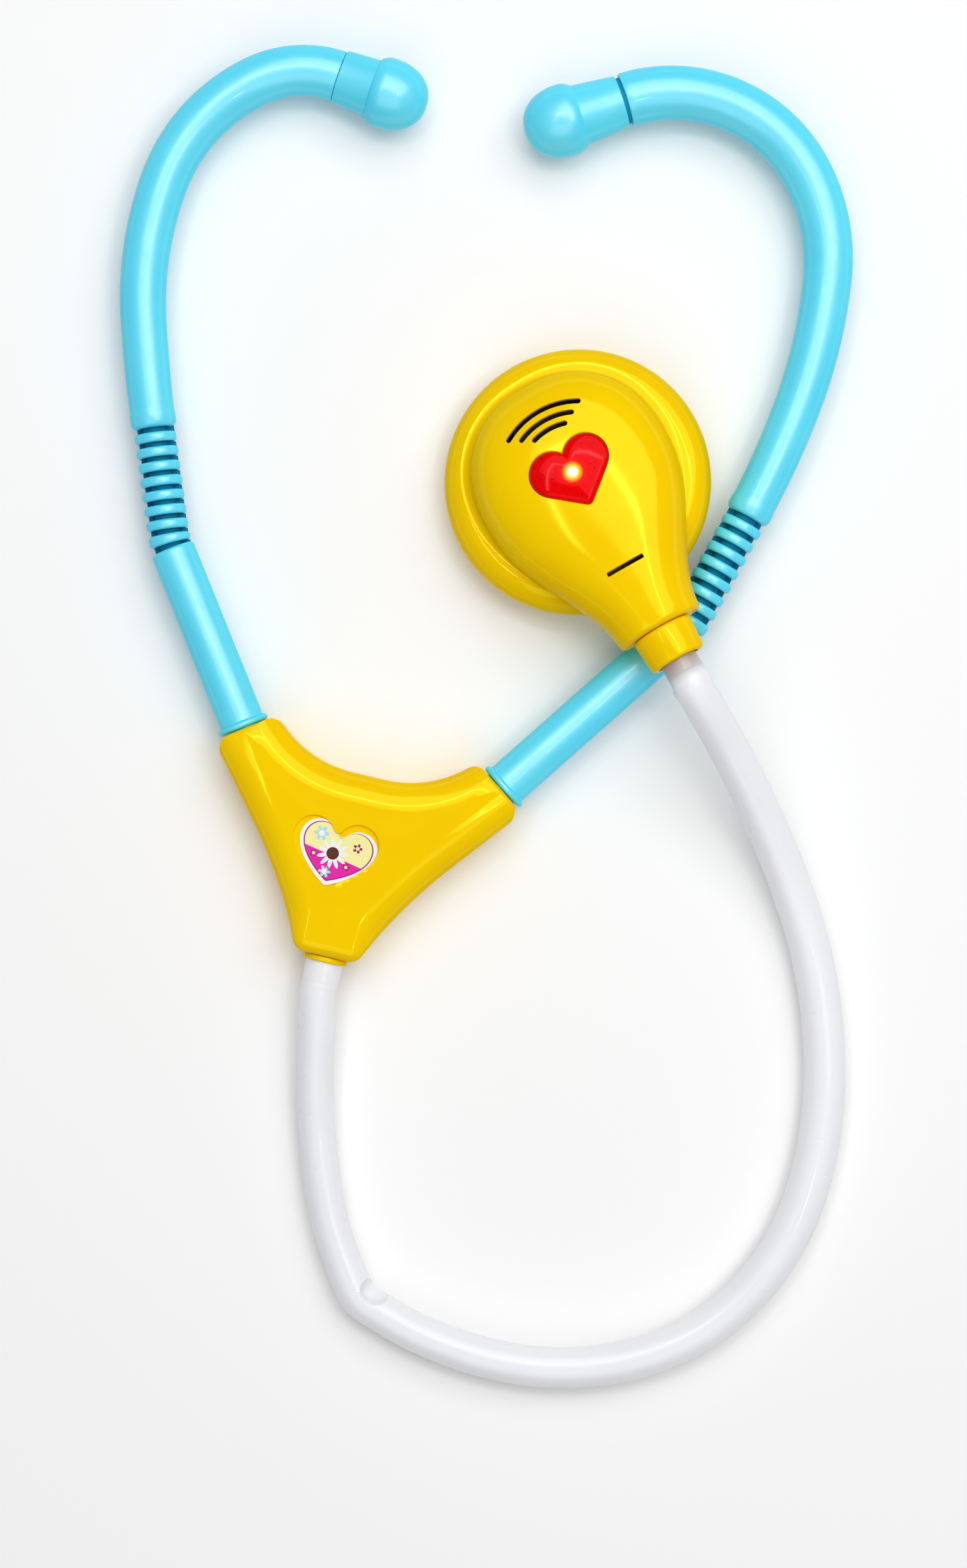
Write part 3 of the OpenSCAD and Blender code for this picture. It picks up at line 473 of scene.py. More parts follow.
# The front swells like a pillow whose arms are carried past their mouths and then cut there
pillow_radii = [half_radii[0], half_radii[1], pillow_end, pillow_end, half_radii[4]]
pillow = both_sides([yoke_half[0], yoke_half[1], past(yoke_half[1], yoke_half[2]),
                     past(yoke_half[4], yoke_half[3]), yoke_half[4]], pillow_radii, corner_steps)
# A corner takes no more of the rounding than its own radius allows, and shares it with its neighbours
share = np.minimum(1, 0.95 * np.repeat(pillow_radii + pillow_radii[::-1], corner_steps + 1) / edge_in)
far = np.linalg.norm(pillow[:, None] - pillow, axis=2)
weight = np.exp(-(far / 4) ** 2)
share = np.minimum(share, (weight * share).sum(1) / weight.sum(1))
pillow_normal = outward(pillow)


def edge_ring(a):
    """A ring of the pillow's rounded edge, from its wall at 0 to its top at a right angle."""
    return np.column_stack([pillow - (share * edge_in * (1 - cos(a)))[:, None] * pillow_normal,
                            yoke_top - share * edge_down * (1 - sin(a))])


def crowned_cap(rim, step, lift):
    """A cap over a flat rim that swells toward its middle."""
    low, high = rim.min(axis=0), rim.max(axis=0)
    grid = np.array([[x, y] for x in np.arange(low[0], high[0], step)
                     for y in np.arange(low[1], high[1], step)])
    ends = np.roll(rim, -1, axis=0)

    def reach(points):
        along = ends - rim
        t = np.clip(((points[:, None] - rim) * along).sum(2) / (along ** 2).sum(1), 0, 1)
        return np.linalg.norm(points[:, None] - rim - t[:, :, None] * along, axis=2).min(axis=1)

    def inside(points):
        cross = (rim[:, 1] > points[:, None, 1]) != (ends[:, 1] > points[:, None, 1])
        slope = (ends[:, 0] - rim[:, 0]) / (ends[:, 1] - rim[:, 1] + 1e-9)
        at = rim[:, 0] + (points[:, None, 1] - rim[:, 1]) * slope
        return (cross & (points[:, None, 0] < at)).sum(axis=1) % 2 == 1

    grid = grid[inside(grid)]
    grid = grid[reach(grid) > 0.5 * step]
    points = np.concatenate([rim, grid])
    loop = [(i, (i + 1) % len(rim)) for i in range(len(rim))]
    flat, _, faces, *_ = delaunay_2d_cdt(points.tolist(), loop, [], 1, 1e-5)
    flat = np.array([list(p) for p in flat])
    return flat, [tuple(f) for f in faces], lift * (1 - np.exp(-(reach(flat) / 5) ** 2))


def down_middle(s):
    """Places on the yoke's middle line."""
    return flat_frame([0, s, 0])


def standing(p):
    """Places up a line that stands at a point of the yoke."""
    return lambda s: (np.array([*p, s]), np.array([1, 0, 0]), np.array([0, 1, 0]))


def yoke_sockets(z0, z1, wall):
    """What both halves leave free: the inside, tube shafts with their collars, and the hose bush."""
    room = prism(yoke_outline - wall * yoke_normal, (z0, 0), (z1, 0))
    posts = [turned([(z0 - 1, 0), (z0 - 1, post_r), (z1 + 1, post_r), (z1 + 1, 0)], standing(p))
             for p in yoke_screw_at]
    shaft = [(mouth_d - shaft_room, 0), (mouth_d - shaft_room, shaft_bore), (mouth_d - pocket_in, shaft_bore),
             (mouth_d - pocket_in, pocket_r), (mouth_d - pocket_out, pocket_r),
             (mouth_d - pocket_out, shaft_bore), (mouth_d + 1, shaft_bore), (mouth_d + 1, 0)]
    walls, shafts = [], []
    for side in (1, -1):
        sideways, outways = arm_side * [side, 1], arm_dir * [side, 1]
        corners = np.array([(mouth_d - cross_wall + y) * outways + x * sideways
                            for x, y in ((-20, -2), (20, -2), (20, 2), (-20, 2))])
        walls.append(loft([at_z(corners, z0 - 1), at_z(corners, z1 + 1)]))
        shafts.append(turned(shaft, lambda s: flat_frame([*(s * arm_dir), arm_angle], side)))
    outlet = turned([(-4.5, 0), (-4.5, bush_bore), (1.5, bush_bore), (1.5, 0)], down_middle)
    return [carved(room, *posts, *walls)] + shafts + [outlet]


lid_flat, lid_faces, lid_swell = crowned_cap(edge_ring(pi / 2)[:, :2], 1.6, crown)
wall_rings = [at_z(pillow - 0.15 * pillow_normal, axis_h), at_z(pillow, axis_h + 0.15)]
wall_rings += [edge_ring(a) for a in np.radians(np.arange(0, 91, 6))]
wall_points, wall_faces = loft(wall_rings)
lid = np.column_stack([lid_flat, yoke_top + lid_swell])
wall_faces = wall_faces[:-1] + [tuple(len(wall_points) + k for k in f) for f in lid_faces]
mouths = loft([at_z(yoke_outline + 0.03 * yoke_normal, axis_h - 1)] + [
    at_z(yoke_outline + (0.03 - mouth_edge * (1 - cos(a))) * yoke_normal,
         yoke_top + crown + 0.1 - mouth_edge * (1 - sin(a)))
    for a in np.radians(np.arange(0, 91, 15))])
recess_at = np.array([-3.7, 23.3])
recess_size = 10.1
recess = loft([at_z(recess_at + plump_heart(recess_size + grow), yoke_top + z)
               for z, grow in ((-0.5, -0.1), (-0.38, 0), (0.12, 0), (0.22, 0.06), (0.3, 0.2), (1.2, 1))])
front_half = carved((np.concatenate([wall_points, lid]), wall_faces), mouths, operation="INTERSECT")
front_half = carved(front_half, *yoke_sockets(axis_h - 1, yoke_top - yoke_wall, 3), recess)
make_piece("yoke_front", front_half, yellow, "yoke", ["yoke_front"], 38)

back_rings = [at_z(yoke_outline - inset * yoke_normal, z) for z, inset in
              ((0, 1.4), (0.1, 0.9), (0.4, 0.42), (0.8, 0.14), (1.4, 0), (axis_h - 0.15, 0), (axis_h, 0.15))]
well_profile = [(-1, 0), (-1, screw_head), (2, screw_head), (2, screw_hole), (12, screw_hole), (12, 0)]
screw_wells = [turned(well_profile, standing(p)) for p in yoke_screw_at]
back_half = carved(loft(back_rings), *yoke_sockets(yoke_wall, axis_h + 1, yoke_wall), *screw_wells)
make_piece("yoke_back", back_half, yellow, "yoke", ["yoke_back"], 38)

# Badge: a printed film heart stuck in the recess, white at its edge with a thin plum line inside.
# Its motif is plain: a cream field, a rose field below it, and a few daisies.
badge_z = yoke_top - 0.5
badge_turn = radians(-7)
badge_at = np.array([-2.9, 22.6])
turn_badge = np.array([[cos(badge_turn), sin(badge_turn)], [-sin(badge_turn), cos(badge_turn)]])


def printed(name, colour, shade):
    """Printing ink on film."""
    return moulded(name, colour, shade, 0.4, 900, 0.02, Specular_IOR_Level=0.25)


def on_badge(points, low, high):
    """A thin layer of the badge, placed in its recess."""
    flat = badge_at + np.asarray(points) @ turn_badge
    return loft([at_z(flat, badge_z + low), at_z(flat, badge_z + high)])


def merged(shapes):
    """Several shapes as one."""
    points, faces = [], []
    for p, f in shapes:
        faces += [tuple(k + sum(map(len, points)) for k in face) for face in f]
        points.append(p)
    return np.concatenate(points), faces


def clipped(outline, offset, slant):
    """The part of an outline on one side of a slanting line."""
    beyond = np.array([cos(slant), sin(slant)])
    kept = []
    for p, q in zip(outline, np.roll(outline, -1, axis=0)):
        a, b = p @ beyond - offset, q @ beyond - offset
        if a >= 0:
            kept.append(p)
        if a * b < 0:
            kept.append(p + (q - p) * a / (a - b))
    return np.array(kept)


def print_layer(name, shape, film, nodes=()):
    """One layer of the badge, fixed to the yoke."""
    make_piece(f"badge_{name}", shape, film, "yoke", nodes)


badge_size = 9.3
white_film = printed("badge_white", (0.9, 0.9, 0.89), (0.87, 0.87, 0.86))
rose_film = printed("badge_rose", (0.82, 0.008, 0.42), (0.76, 0.006, 0.38))
plum_film = printed("badge_plum", (0.36, 0.02, 0.18), (0.3, 0.015, 0.15))
cream_film = printed("badge_cream", (0.93, 0.87, 0.4), (0.91, 0.84, 0.35))
sky_film = printed("badge_sky", (0.45, 0.76, 0.84), (0.4, 0.7, 0.8))
brown_film = printed("badge_brown", (0.12, 0.025, 0.012), (0.09, 0.018, 0.009))
print_layer("film", on_badge(plump_heart(badge_size), 0, 0.25), white_film, ["yoke_badge"])
print_layer("line", on_badge(plump_heart(0.9 * badge_size), 0.24, 0.27), plum_film)
field = plump_heart(0.867 * badge_size)
print_layer("field", on_badge(field, 0.26, 0.29), cream_film)
print_layer("ground", on_badge(clipped(field, 3, radians(-94)), 0.28, 0.31), rose_film)
spot_angles = np.linspace(0, 2 * pi, 16, endpoint=False)
spot = np.column_stack([np.cos(spot_angles), np.sin(spot_angles)])


def blooms(flowers, petals, low):
    """Daisies from their places and sizes: rings of petals and round middles."""
    leaves, middles = [], []
    for x, y, r in flowers:
        for k in range(petals):
            q = 2 * pi * k / petals + 0.2
            leaf = spot * [0.46 * r, 1.5 * r / petals] @ np.array([[cos(q), sin(q)], [-sin(q), cos(q)]])
            leaves.append(on_badge([x + 0.6 * r * cos(q), y + 0.6 * r * sin(q)] + leaf, low, low + 0.03))
        middles.append(on_badge([x, y] + 0.42 * r * spot, low + 0.02, low + 0.06))
    return merged(leaves), merged(middles)


for name, flowers, petals, leaf_film, middle_film in (
        ("daisy", [(-0.6, -2.4, 3.5)], 11, white_film, brown_film),
        ("blue_flowers", [(-4.6, 1.2, 1.7), (-1.0, -7.0, 1.4)], 6, sky_film, white_film),
        ("red_flowers", [(4.5, 0.6, 1.1), (-4.8, -3.8, 0.9), (3.4, -4.4, 0.9)], 5, plum_film, cream_film)):
    leaves, middles = blooms(flowers, petals, 0.3)
    print_layer(name, leaves, leaf_film)
    print_layer(f"{name}_middles", middles, middle_film)

# Hose bush: a round yellow plastic barb with a flange inside the yoke and a ring outside it.
# The two yoke halves clamp it, and the hose is pushed over its end.
bush_profile = rounded([[1.6, -0.4], [5, -0.4], [5, 1.4], [3.6, 1.4], [3.6, 3.7], [5.2, 3.7], [5.2, 5],
                        [3, 5], [3, 11], [1.6, 11]], [0, 0.2, 0.2, 0, 0, 0.4, 0.4, 0.1, 0.3, 0.1], 4)
make_piece("yoke_bush", turned([(-z, r) for r, z in bush_profile], down_middle, 40), yellow, "yoke",
           ["yoke_bush"])

# Ear tubes: sky blue moulded tubes. The lower one turns in the yoke, a ribbed neck lets it flex,
# and the upper one bows inward to the ear tip, with a low band where it meets the neck.
tube_r = 5.25
tube_end = [6.0, 6.4]
tube_wall = 1.9
bore_r = 3.05
shaft_r = 4.5
shaft_in = 17
keep_r = 5.5
keep_in = 4.6
keep_out = 2.4
flange_r = 6.15
flange_from = 0.3
flange_to = 1.8
flex_d = [100.7, 112]
lean = [21, 15.5]
rise = [26.9, 28.6]
bend = 3
neck_end = 1.4
rib_n = 8
rib_r = 4.95
rib_t = 2.3
rib_edge = 0.8
core_r = 2.6
web_r = [4.4, 4.85]
web_at = 0.38
web_wide = 0.12
neck_plug = 2.95
painted_shade_reach = 3.9
bow = [[[24.8, -4], [33.9, -24], [32.4, -44], [20.4, -45]],
       [[28.6, -8.2], [30.7, -14.6], [25.2, -33.2], [50.4, -81]]]
band_l = 3.4
band_up = 0.15
seam = 0.1
tip_collar = [8.3, 11.5]
tip_start = [6.35, 6.2]
tip_end = [6.8, 7.2]
tip_gap = [0.05, 0.85]
dome = [8.3, 8.5]
dome_l = 13.2
lip_l = 3
lip_in = 1.1


def hop(p, arc, f):
    """A step along an arc of length and turn, from x, y and heading."""
    length, swing = arc[0] * f, radians(arc[1]) * f
    chord = length if abs(swing) < 1e-4 else 2 * length / swing * sin(swing / 2)
    return (p[0] + chord * sin(p[2] + swing / 2), p[1] + chord * cos(p[2] + swing / 2), p[2] + swing)


def along_arcs(p, arcs, s):
    """The place at a distance along a chain of arcs."""
    for arc in arcs[:-1]:
        if s <= arc[0]:
            return hop(p, arc, s / arc[0])
        p, s = hop(p, arc, 1), s - arc[0]
    return hop(p, arcs[-1], s / arcs[-1][0])


blue = moulded("blue_gloss", (0.105, 0.78, 1.0), (0.09, 0.74, 1.0), 0.38, 1800, 0.008, IOR=1.7,
               Coat_Weight=0.4, Coat_Roughness=0.03)
soft_sided(blue, 0.85)
# A darker, duller blue that paints shade into the hollows between the ribs and into the gap at the ear tip
blue_painted_shade = moulded("blue_painted_shade", (0.005, 0.28, 0.46), (0.004, 0.23, 0.4), 0.6, 1800, 0.02,
                      Specular_IOR_Level=0.1)
neck_sides = 72
round_neck = np.linspace(0, 2 * pi, neck_sides, endpoint=False)
web = np.where(np.abs(np.sin(round_neck) + web_at) < web_wide, np.where(np.cos(round_neck) > 0, *web_r), 0)
between = np.maximum(core_r, web)
plug = np.full(neck_sides, neck_plug)


def rib(middle):
    """A rib with rounded edges, as pairs of place and radius."""
    rise_up = [(middle - rib_t / 2 + rib_edge * (1 - cos(q)),
                np.full(neck_sides, rib_r - rib_edge * (1 - sin(q)))) for q in np.linspace(0, pi / 2, 6)]
    return rise_up + [(2 * middle - s, r) for s, r in rise_up[::-1]]


for i, (name, side) in enumerate((("left", -1), ("right", 1))):
    foot = (*((flex_d[i] - bend) * arm_dir), arm_angle)
    swing = degrees(arm_angle) - lean[i]
    neck_arc = [bend / tan(radians(swing) / 2) * radians(swing), -swing]
    neck_arcs = [neck_arc, [rise[i] - bend, 0]]
    neck_len = neck_arc[0] + rise[i] - bend
    head = along_arcs(foot, neck_arcs, neck_len + seam)
    tube_len = sum(arc[0] for arc in bow[i])
    tip = along_arcs(head, bow[i], tube_len)

    # Lower tube: hollow shaft with a retaining collar inside the yoke and a flange at its mouth
    lower_end = flex_d[i] - bend + neck_end
    lower_profile = rounded(
        [[bore_r, mouth_d - shaft_in], [shaft_r, mouth_d - shaft_in], [shaft_r, mouth_d - keep_in],
         [keep_r, mouth_d - keep_in], [keep_r, mouth_d - keep_out], [shaft_r, mouth_d - keep_out],
         [shaft_r, mouth_d + flange_from], [flange_r, mouth_d + flange_from], [flange_r, mouth_d + flange_to],
         [tube_r + 0.05, mouth_d + flange_to], [tube_r, lower_end], [bore_r, lower_end]],
        [0.1, 0.3, 0, 0.2, 0.2, 0, 0, 0.74, 0.74, 0.2, 0.9, 0.1], 6)
    along_arm = lambda s: flat_frame((*(s * arm_dir), arm_angle), side)
    make_piece(f"{name}_lower_tube", turned([(s, r) for r, s in lower_profile], along_arm, 56), blue,
               f"{name}_arm", [f"{name}_lower_tube"], 40)

    # Neck: ribs on a thin core with a low web on both sides, in one soft moulding
    gap = (neck_len - neck_end - rib_n * rib_t) / (rib_n + 1)
    neck_profile = [(-4, 0 * plug), (-4, plug - 0.3), (-3.7, plug), (0.3, plug), (0.31, between)]
    for k in range(rib_n):
        middle = neck_end + gap + rib_t / 2 + k * (rib_t + gap)
        neck_profile += [(middle - rib_t / 2 - 0.01, between)] + rib(middle)
        neck_profile += [(middle + rib_t / 2 + 0.01, between)]
    neck_profile += [(neck_len + 0.4, between), (neck_len + 0.41, plug), (neck_len + 4.7, plug),
                     (neck_len + 5, plug - 0.3), (neck_len + 5, 0 * plug)]
    up_neck = lambda s: flat_frame(along_arcs(foot, neck_arcs, s), side)
    neck = make_piece(f"{name}_neck", turned(neck_profile, up_neck, neck_sides), blue, None, [f"{name}_neck"],
                      40)
    # The hollows between the ribs are painted in shade: a darker, duller blue stands in for the shadow that
    # the ribs cast there
    neck.data.materials.append(blue_painted_shade)
    spine = np.array([up_neck(s)[0] for s in np.arange(0, neck_len, 0.1)])
    for face in neck.data.polygons:
        if np.linalg.norm(spine - np.array(face.center) / MM, axis=1).min() < painted_shade_reach:
            face.material_index = 1
    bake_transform(neck)

    # Upper tube: swept along its bow, widening to the ear tip
    end_r = tube_end[i]
    tube_places = np.linspace(band_l + 1.2, tube_len, 90)
    widen = lambda s: tube_r + (end_r - tube_r) * max(s - band_l, 0) / (tube_len - band_l)
    tube_profile = [(0, tube_r - 1), (0.1, tube_r - 0.62), (0.35, tube_r - 0.28), (0.75, tube_r - 0.02),
                    (1.3, tube_r + band_up), (band_l - 0.3, tube_r + band_up),
                    (band_l + 0.1, tube_r + 0.6 * band_up), (band_l + 0.6, tube_r)]
    tube_profile += [(s, widen(s)) for s in tube_places[:-1]]
    tube_profile += [(tube_len - 0.35, end_r - 0.01), (tube_len - 0.1, end_r - 0.12), (tube_len, end_r - 0.4)]
    tube_profile += [(s, widen(s) - tube_wall) for s in tube_places[::-3]] + [(0, tube_r - tube_wall)]
    along_bow = lambda s: flat_frame(along_arcs(head, bow[i], s), side)
    make_piece(f"{name}_upper_tube", turned(tube_profile, along_bow, 56), blue, f"{name}_ear",
               [f"{name}_upper_tube"], 40)

    # Ear tip: plug, flaring collar behind a fine gap, and a blunt dome with an overhanging lip
    dome_r, collar_l, gap_l = dome[i], tip_collar[i], tip_gap[i]
    start_r, rim_r = tip_start[i], tip_end[i]
    plug_r = end_r - tube_wall - 0.5
    nose = [(dome_r * cos(q) ** 0.9, lip_l + (dome_l - lip_l) * sin(q) ** 0.9)
            for q in np.linspace(0.02, pi / 2, 30)]
    lip = [(dome_r - lip_in * (1 - z / lip_l) ** 2.2, z) for z in np.linspace(0.1, lip_l, 12)]
    tip_profile = [(0, -4), (plug_r - 0.3, -4), (plug_r, -3.6), (plug_r, 0.02), (end_r - 0.9, 0.03),
                   (end_r - 0.9, gap_l), (start_r - 0.35, gap_l + 0.02), (start_r - 0.1, gap_l + 0.1),
                   (start_r, gap_l + 0.35), (rim_r, collar_l - 0.25), (rim_r + 0.1, collar_l - 0.05),
                   (lip[0][0] - 0.15, collar_l)]
    tip_profile += [(r, collar_l + z) for r, z in lip + nose[1:-1]] + [(0, collar_l + dome_l)]
    beyond_tube = lambda s: flat_frame((tip[0] + s * sin(tip[2]), tip[1] + s * cos(tip[2]), tip[2]), side)
    ear_tip = make_piece(f"{name}_ear_tip", turned([(s, r) for r, s in tip_profile], beyond_tube, 64), blue,
                         f"{name}_ear", [f"{name}_ear_tip"], 40)
    # The gap between tube and collar is painted in shade with the darker blue
    ear_tip.data.materials.append(blue_painted_shade)
    tip_from, tip_way = beyond_tube(0)[0], beyond_tube(1)[0] - beyond_tube(0)[0]
    for face in ear_tip.data.polygons:
        if 0 < (np.array(face.center) / MM - tip_from) @ tip_way < gap_l + 0.01:
            face.material_index = 1

# Chest disc: a round yellow moulding with a half-round rim, hollow for the back plate and battery box.
# The lower half of the neck is moulded on, and a low hollow round leads up to the housing.
crest_r = 26
fillet_w = 2.5
fillet_h = 0.6
plate_r = 23
roof_hole = 18.5
roof_t = 2.4
flange_room = 7.3
collar_room = 5.55
bulb_w = 23.6
bulb_back = 24.4
bulb_h = 14.2
neck_w = 10.5
neck_h = 12
throat_h = 5
shell_t = 1.8
shoulder_r = 1.2
face_x = 2.4
face_z = disc_h + bulb_h


def upright(x, y):
    """Places up an axis of the chest piece."""
    return lambda s: (in_chest([x, y, s]), chest_axes[0], chest_axes[1])


def wide(x, t=0):
    """Half the width of the housing at a place along it, or of a skin that lies inside it."""
    if x < 0:
        return (bulb_w - t) * max(0, 1 - (-x / (bulb_back - t)) ** 2.2) ** (1 / 2.2)
    return neck_w - t + (bulb_w - neck_w) * (0.5 + 0.5 * cos(pi * (x / shoulder_x) ** 1.15))


def high(x, t=0):
    """Height of the housing over the disc."""
    if x < 0:
        return (bulb_h - t) * max(0, 1 - (-x / (bulb_back - t)) ** 2.6) ** (1 / 2.6)
    return bulb_h - t + (neck_h - bulb_h) * (x / shoulder_x) ** 2


def arch(x, w, h, n, steps=48):
    """One arch of the housing, squarer or rounder by its power."""
    a = np.linspace(0, pi, steps + 1)
    c, s = np.cos(a), np.abs(np.sin(a))
    s[[0, -1]] = 0
    return np.column_stack([np.full(steps + 1, x), w * np.sign(c) * np.abs(c) ** (2 / n),
                            disc_h + h * s ** (2 / n)])


def shoulder(angles):
    """Places along the rounded shoulder and how far it has drawn in there."""
    return [(shoulder_x - shoulder_r * (1 - sin(q)), shoulder_r * (1 - cos(q))) for q in np.radians(angles)]


disc_profile = [(roof_hole, disc_h - roof_t), (roof_hole, disc_h)]
disc_profile += [(crest_r + (disc_r - crest_r) * cos(q), disc_h / 2 * (1 + sin(q)))
                 for q in np.linspace(pi / 2, -pi / 2, 52)]
disc_profile += [(plate_r + 0.05, 0), (plate_r + 0.05, 3), (plate_r - 1, 3), (plate_r - 1, disc_h - roof_t)]
disc = turned([(z, r) for r, z in disc_profile], upright(0, 0), 160)
throat = []
for x, e in [(x, 0) for x in np.linspace(20, shoulder_x - shoulder_r, 24)] + shoulder([20, 40, 60, 80, 90]):
    under = arch(x, wide(min(x, shoulder_x), e), throat_h - 0.7 * e, 2.4)
    throat.append(in_chest(np.column_stack([under[:, 0], -under[:, 1], 2 * disc_h - under[:, 2]])))
along_neck = lambda s: (in_chest([s, 0, neck_z]), chest_axes[1], chest_axes[2])
collar_hole = turned([(shoulder_x - 5, 0), (shoulder_x - 5, flange_room), (shoulder_x - 2.4, flange_room),
                      (shoulder_x - 2.4, collar_room), (shoulder_x + 3, collar_room), (shoulder_x + 3, 0)],
                     along_neck)
plan_x = np.concatenate([-bulb_back * np.cos(np.linspace(0.02, pi / 2, 30)), np.linspace(1, shoulder_x, 30)])
plan = np.concatenate([np.column_stack([plan_x, [-wide(x) - 0.02 for x in plan_x]]),
                       np.column_stack([plan_x, [wide(x) + 0.02 for x in plan_x]])[::-1]])
footprint = loft([in_chest(at_z(plan, disc_h)), in_chest(at_z(plan, disc_h + 3))])
# The disc runs up into the housing with a hollow round, along both sides and round the back
shore = [[x, y] for x, y in plan if x < 19]
shore = np.array(shore[len(shore) // 2:] + shore[:len(shore) // 2])
beach = np.diff(shore, axis=0, prepend=shore[:1] - (shore[1] - shore[0]))
beach = np.column_stack([-beach[:, 1], beach[:, 0]]) / np.linalg.norm(beach, axis=1)[:, None]
beach *= np.sign((beach * shore).sum(1))[:, None]
hollow_round = []
fade_out = np.minimum(1, np.minimum(np.arange(len(shore)), np.arange(len(shore))[::-1]) / 14 + 0.05)
for q, n, f in zip(shore, beach, fade_out):
    edge = [[*(q - 0.4 * n), disc_h - 1.5], [*(q - 0.4 * n), disc_h + f * fillet_h]]
    edge += [[*(q + f * fillet_w * (1 - cos(a)) * n), disc_h + f * fillet_h * (1 - sin(a)) + 0.01]
             for a in np.linspace(0.1, pi / 2, 12)]
    hollow_round.append(in_chest(edge + [[*(q + (f * fillet_w + 0.3) * n), disc_h - 1.5]]))
base_shape = carved(disc, loft(throat), loft(hollow_round), operation="UNION")
base_shape = carved(base_shape, footprint, collar_hole)
make_piece("chest_base", base_shape, yellow, "yoke", ["chest_base"], 30)

# Chest housing: a thin yellow teardrop shell, flat-topped over the button, falling to a round neck.
# It has a flared heart-shaped well, three curved speaker slots and one straight slit.
heart_gap = 0.12
slot_w = 1.3
heart_w = 9.65
slot_at = [[13.3, 17.3], [15.7, 24.7], [18.3, 30]]
slit_at = 25.1


def housing_places(t, end):
    """Places along the housing, close together where it closes at the back."""
    back_angles = (0.7, 2, 4, 6.5, 9.5, 13, 17, 21, 26, 31, 37, 43, 50, 57, 64, 71, 78, 85)
    return [-(bulb_back - t) * cos(radians(q)) for q in back_angles] + list(np.linspace(0, end, 36))


def square_of(x):
    """How square the arches are: less toward the neck."""
    return 2.7 if x < 0 else 2.7 - 0.5 * x / shoulder_x


def lying_heart(size):
    """The heart's outline on the chest piece, its tip toward the hose."""
    return np.array([face_x, 0]) + heart(size) @ np.array([[0, 1], [-1, 0]])


skin = [arch(x, wide(x), high(x), square_of(x)) for x in housing_places(0, shoulder_x - shoulder_r)]
skin += [arch(x, wide(x, e), high(x, e), square_of(x)) for x, e in shoulder([18, 36, 54, 72, 90])]
hollow = []
for x in housing_places(shell_t, shoulder_x - 2):
    inside = arch(x, wide(x, shell_t), high(x, shell_t), square_of(x))
    hollow.append(np.concatenate([inside, inside[[-1, 0]] - [0, 0, 1]]))
well = loft([at_z(lying_heart(heart_w + heart_gap + grow), face_z + z)
             for z, grow in ((-5, 0), (-0.8, 0), (-0.5, 0.12), (-0.2, 0.45), (0.02, 0.85), (1.5, 4))])
slots = []
slot_half = slot_w / 2
slot_ends = np.linspace(0, pi, 8)[1:-1]
for r, half in slot_at:
    span = np.radians(np.linspace(180 - half, 180 + half, 24))
    first, last = span[0], span[-1]
    slot_edge = [[(r + slot_half) * cos(q), (r + slot_half) * sin(q)] for q in span]
    slot_edge += [[r * cos(last) + slot_half * cos(last + q), r * sin(last) + slot_half * sin(last + q)]
                  for q in slot_ends]
    slot_edge += [[(r - slot_half) * cos(q), (r - slot_half) * sin(q)] for q in span[::-1]]
    slot_edge += [[r * cos(first) - slot_half * cos(first + q), r * sin(first) - slot_half * sin(first + q)]
                  for q in slot_ends]
    slots.append(prism(np.array([face_x, 0]) + np.array(slot_edge), (disc_h + 5, 0), (disc_h + 17, 0)))
slit = prism(rounded([[slit_at + x, y] for x, y in ((-0.55, -4.7), (0.55, -4.7), (0.55, 4.7), (-0.55, 4.7))],
                     [0.25] * 4, 3), (disc_h + 10, 0), (disc_h + 18, 0))
tools = [(in_chest(p), f) for p, f in [loft(hollow), well, *slots, slit]]
housing = carved((in_chest(np.concatenate(skin)), loft(skin)[1]), *tools, collar_hole)
make_piece("chest_top", housing, yellow, "yoke", ["chest_top"], 32)

# Hose collar: a yellow plastic ring whose flange is clamped between disc and housing.
# The hose goes into it, over a barb in its middle.
collar_profile = rounded([[1.6, -4.6], [7.2, -4.6], [7.2, -2.6], [5.5, -2.6], [5.5, 0.15], [7.3, 0.15],
                          [6.7, 8.4], [5.1, 8.4], [5.1, 5.4], [3, 5.4], [3, 11], [1.6, 11]],
                         [0, 0.2, 0.2, 0, 0, 0.9, 0.8, 0.2, 0, 0, 0.3, 0.1], 6)
make_piece("chest_collar", turned([(shoulder_x + s, r) for r, s in collar_profile], along_neck, 56), yellow,
           "yoke", ["chest_collar"], 40)

# Heart button: a domed lens of clear red plastic with a rim under the shell and a skirt round the lamp.
# The lamp shines through it, so it glows white and yellow at one spot.
lamp_at = [face_x - 1.8, 0]
lens_foot = [(-4.2, 1.3), (-3, 1.3), (-3, 0), (-0.9, 0)]
lens_rings = [at_z(lying_heart(heart_w + grow), face_z + z) for z, grow in lens_foot]
for q in np.linspace(0.1, 1, 10):
    lens_rings.append(at_z(lying_heart(heart_w * (1 - 0.9 * q ** 2.2)),
                           face_z - 0.9 + 1.4 * sin(pi / 2 * q ** 0.9) ** 0.8))
skirt = turned([(disc_h + 8, 3.2), (disc_h + 8, 4.4), (face_z - 3.5, 4.4), (face_z - 3.5, 3.2)],
               upright(*lamp_at), 40)
lens = loft([in_chest(r) for r in lens_rings])
red = moulded("red_lens", (0.84, 0.001, 0.001), (0.74, 0.001, 0.001), 0.07, 2200, 0.01,
              Specular_IOR_Level=0.6, Specular_Tint=(1, 0.1, 0.12, 1))
lens_tree = red.node_tree
lens_sockets = lens_tree.nodes["Principled BSDF"].inputs
# Dark specks of the glitter that the lens has in it
lens_tone = lens_sockets["Base Color"]
speck = ranged(lens_tree, noise(lens_tree, 1500, 1), 0.66, 0.72, 0, 0.7)
lens_tree.links.new(mixed(lens_tree, speck, lens_tone.links[0].from_socket, (0.2, 0.0, 0.005)), lens_tone)
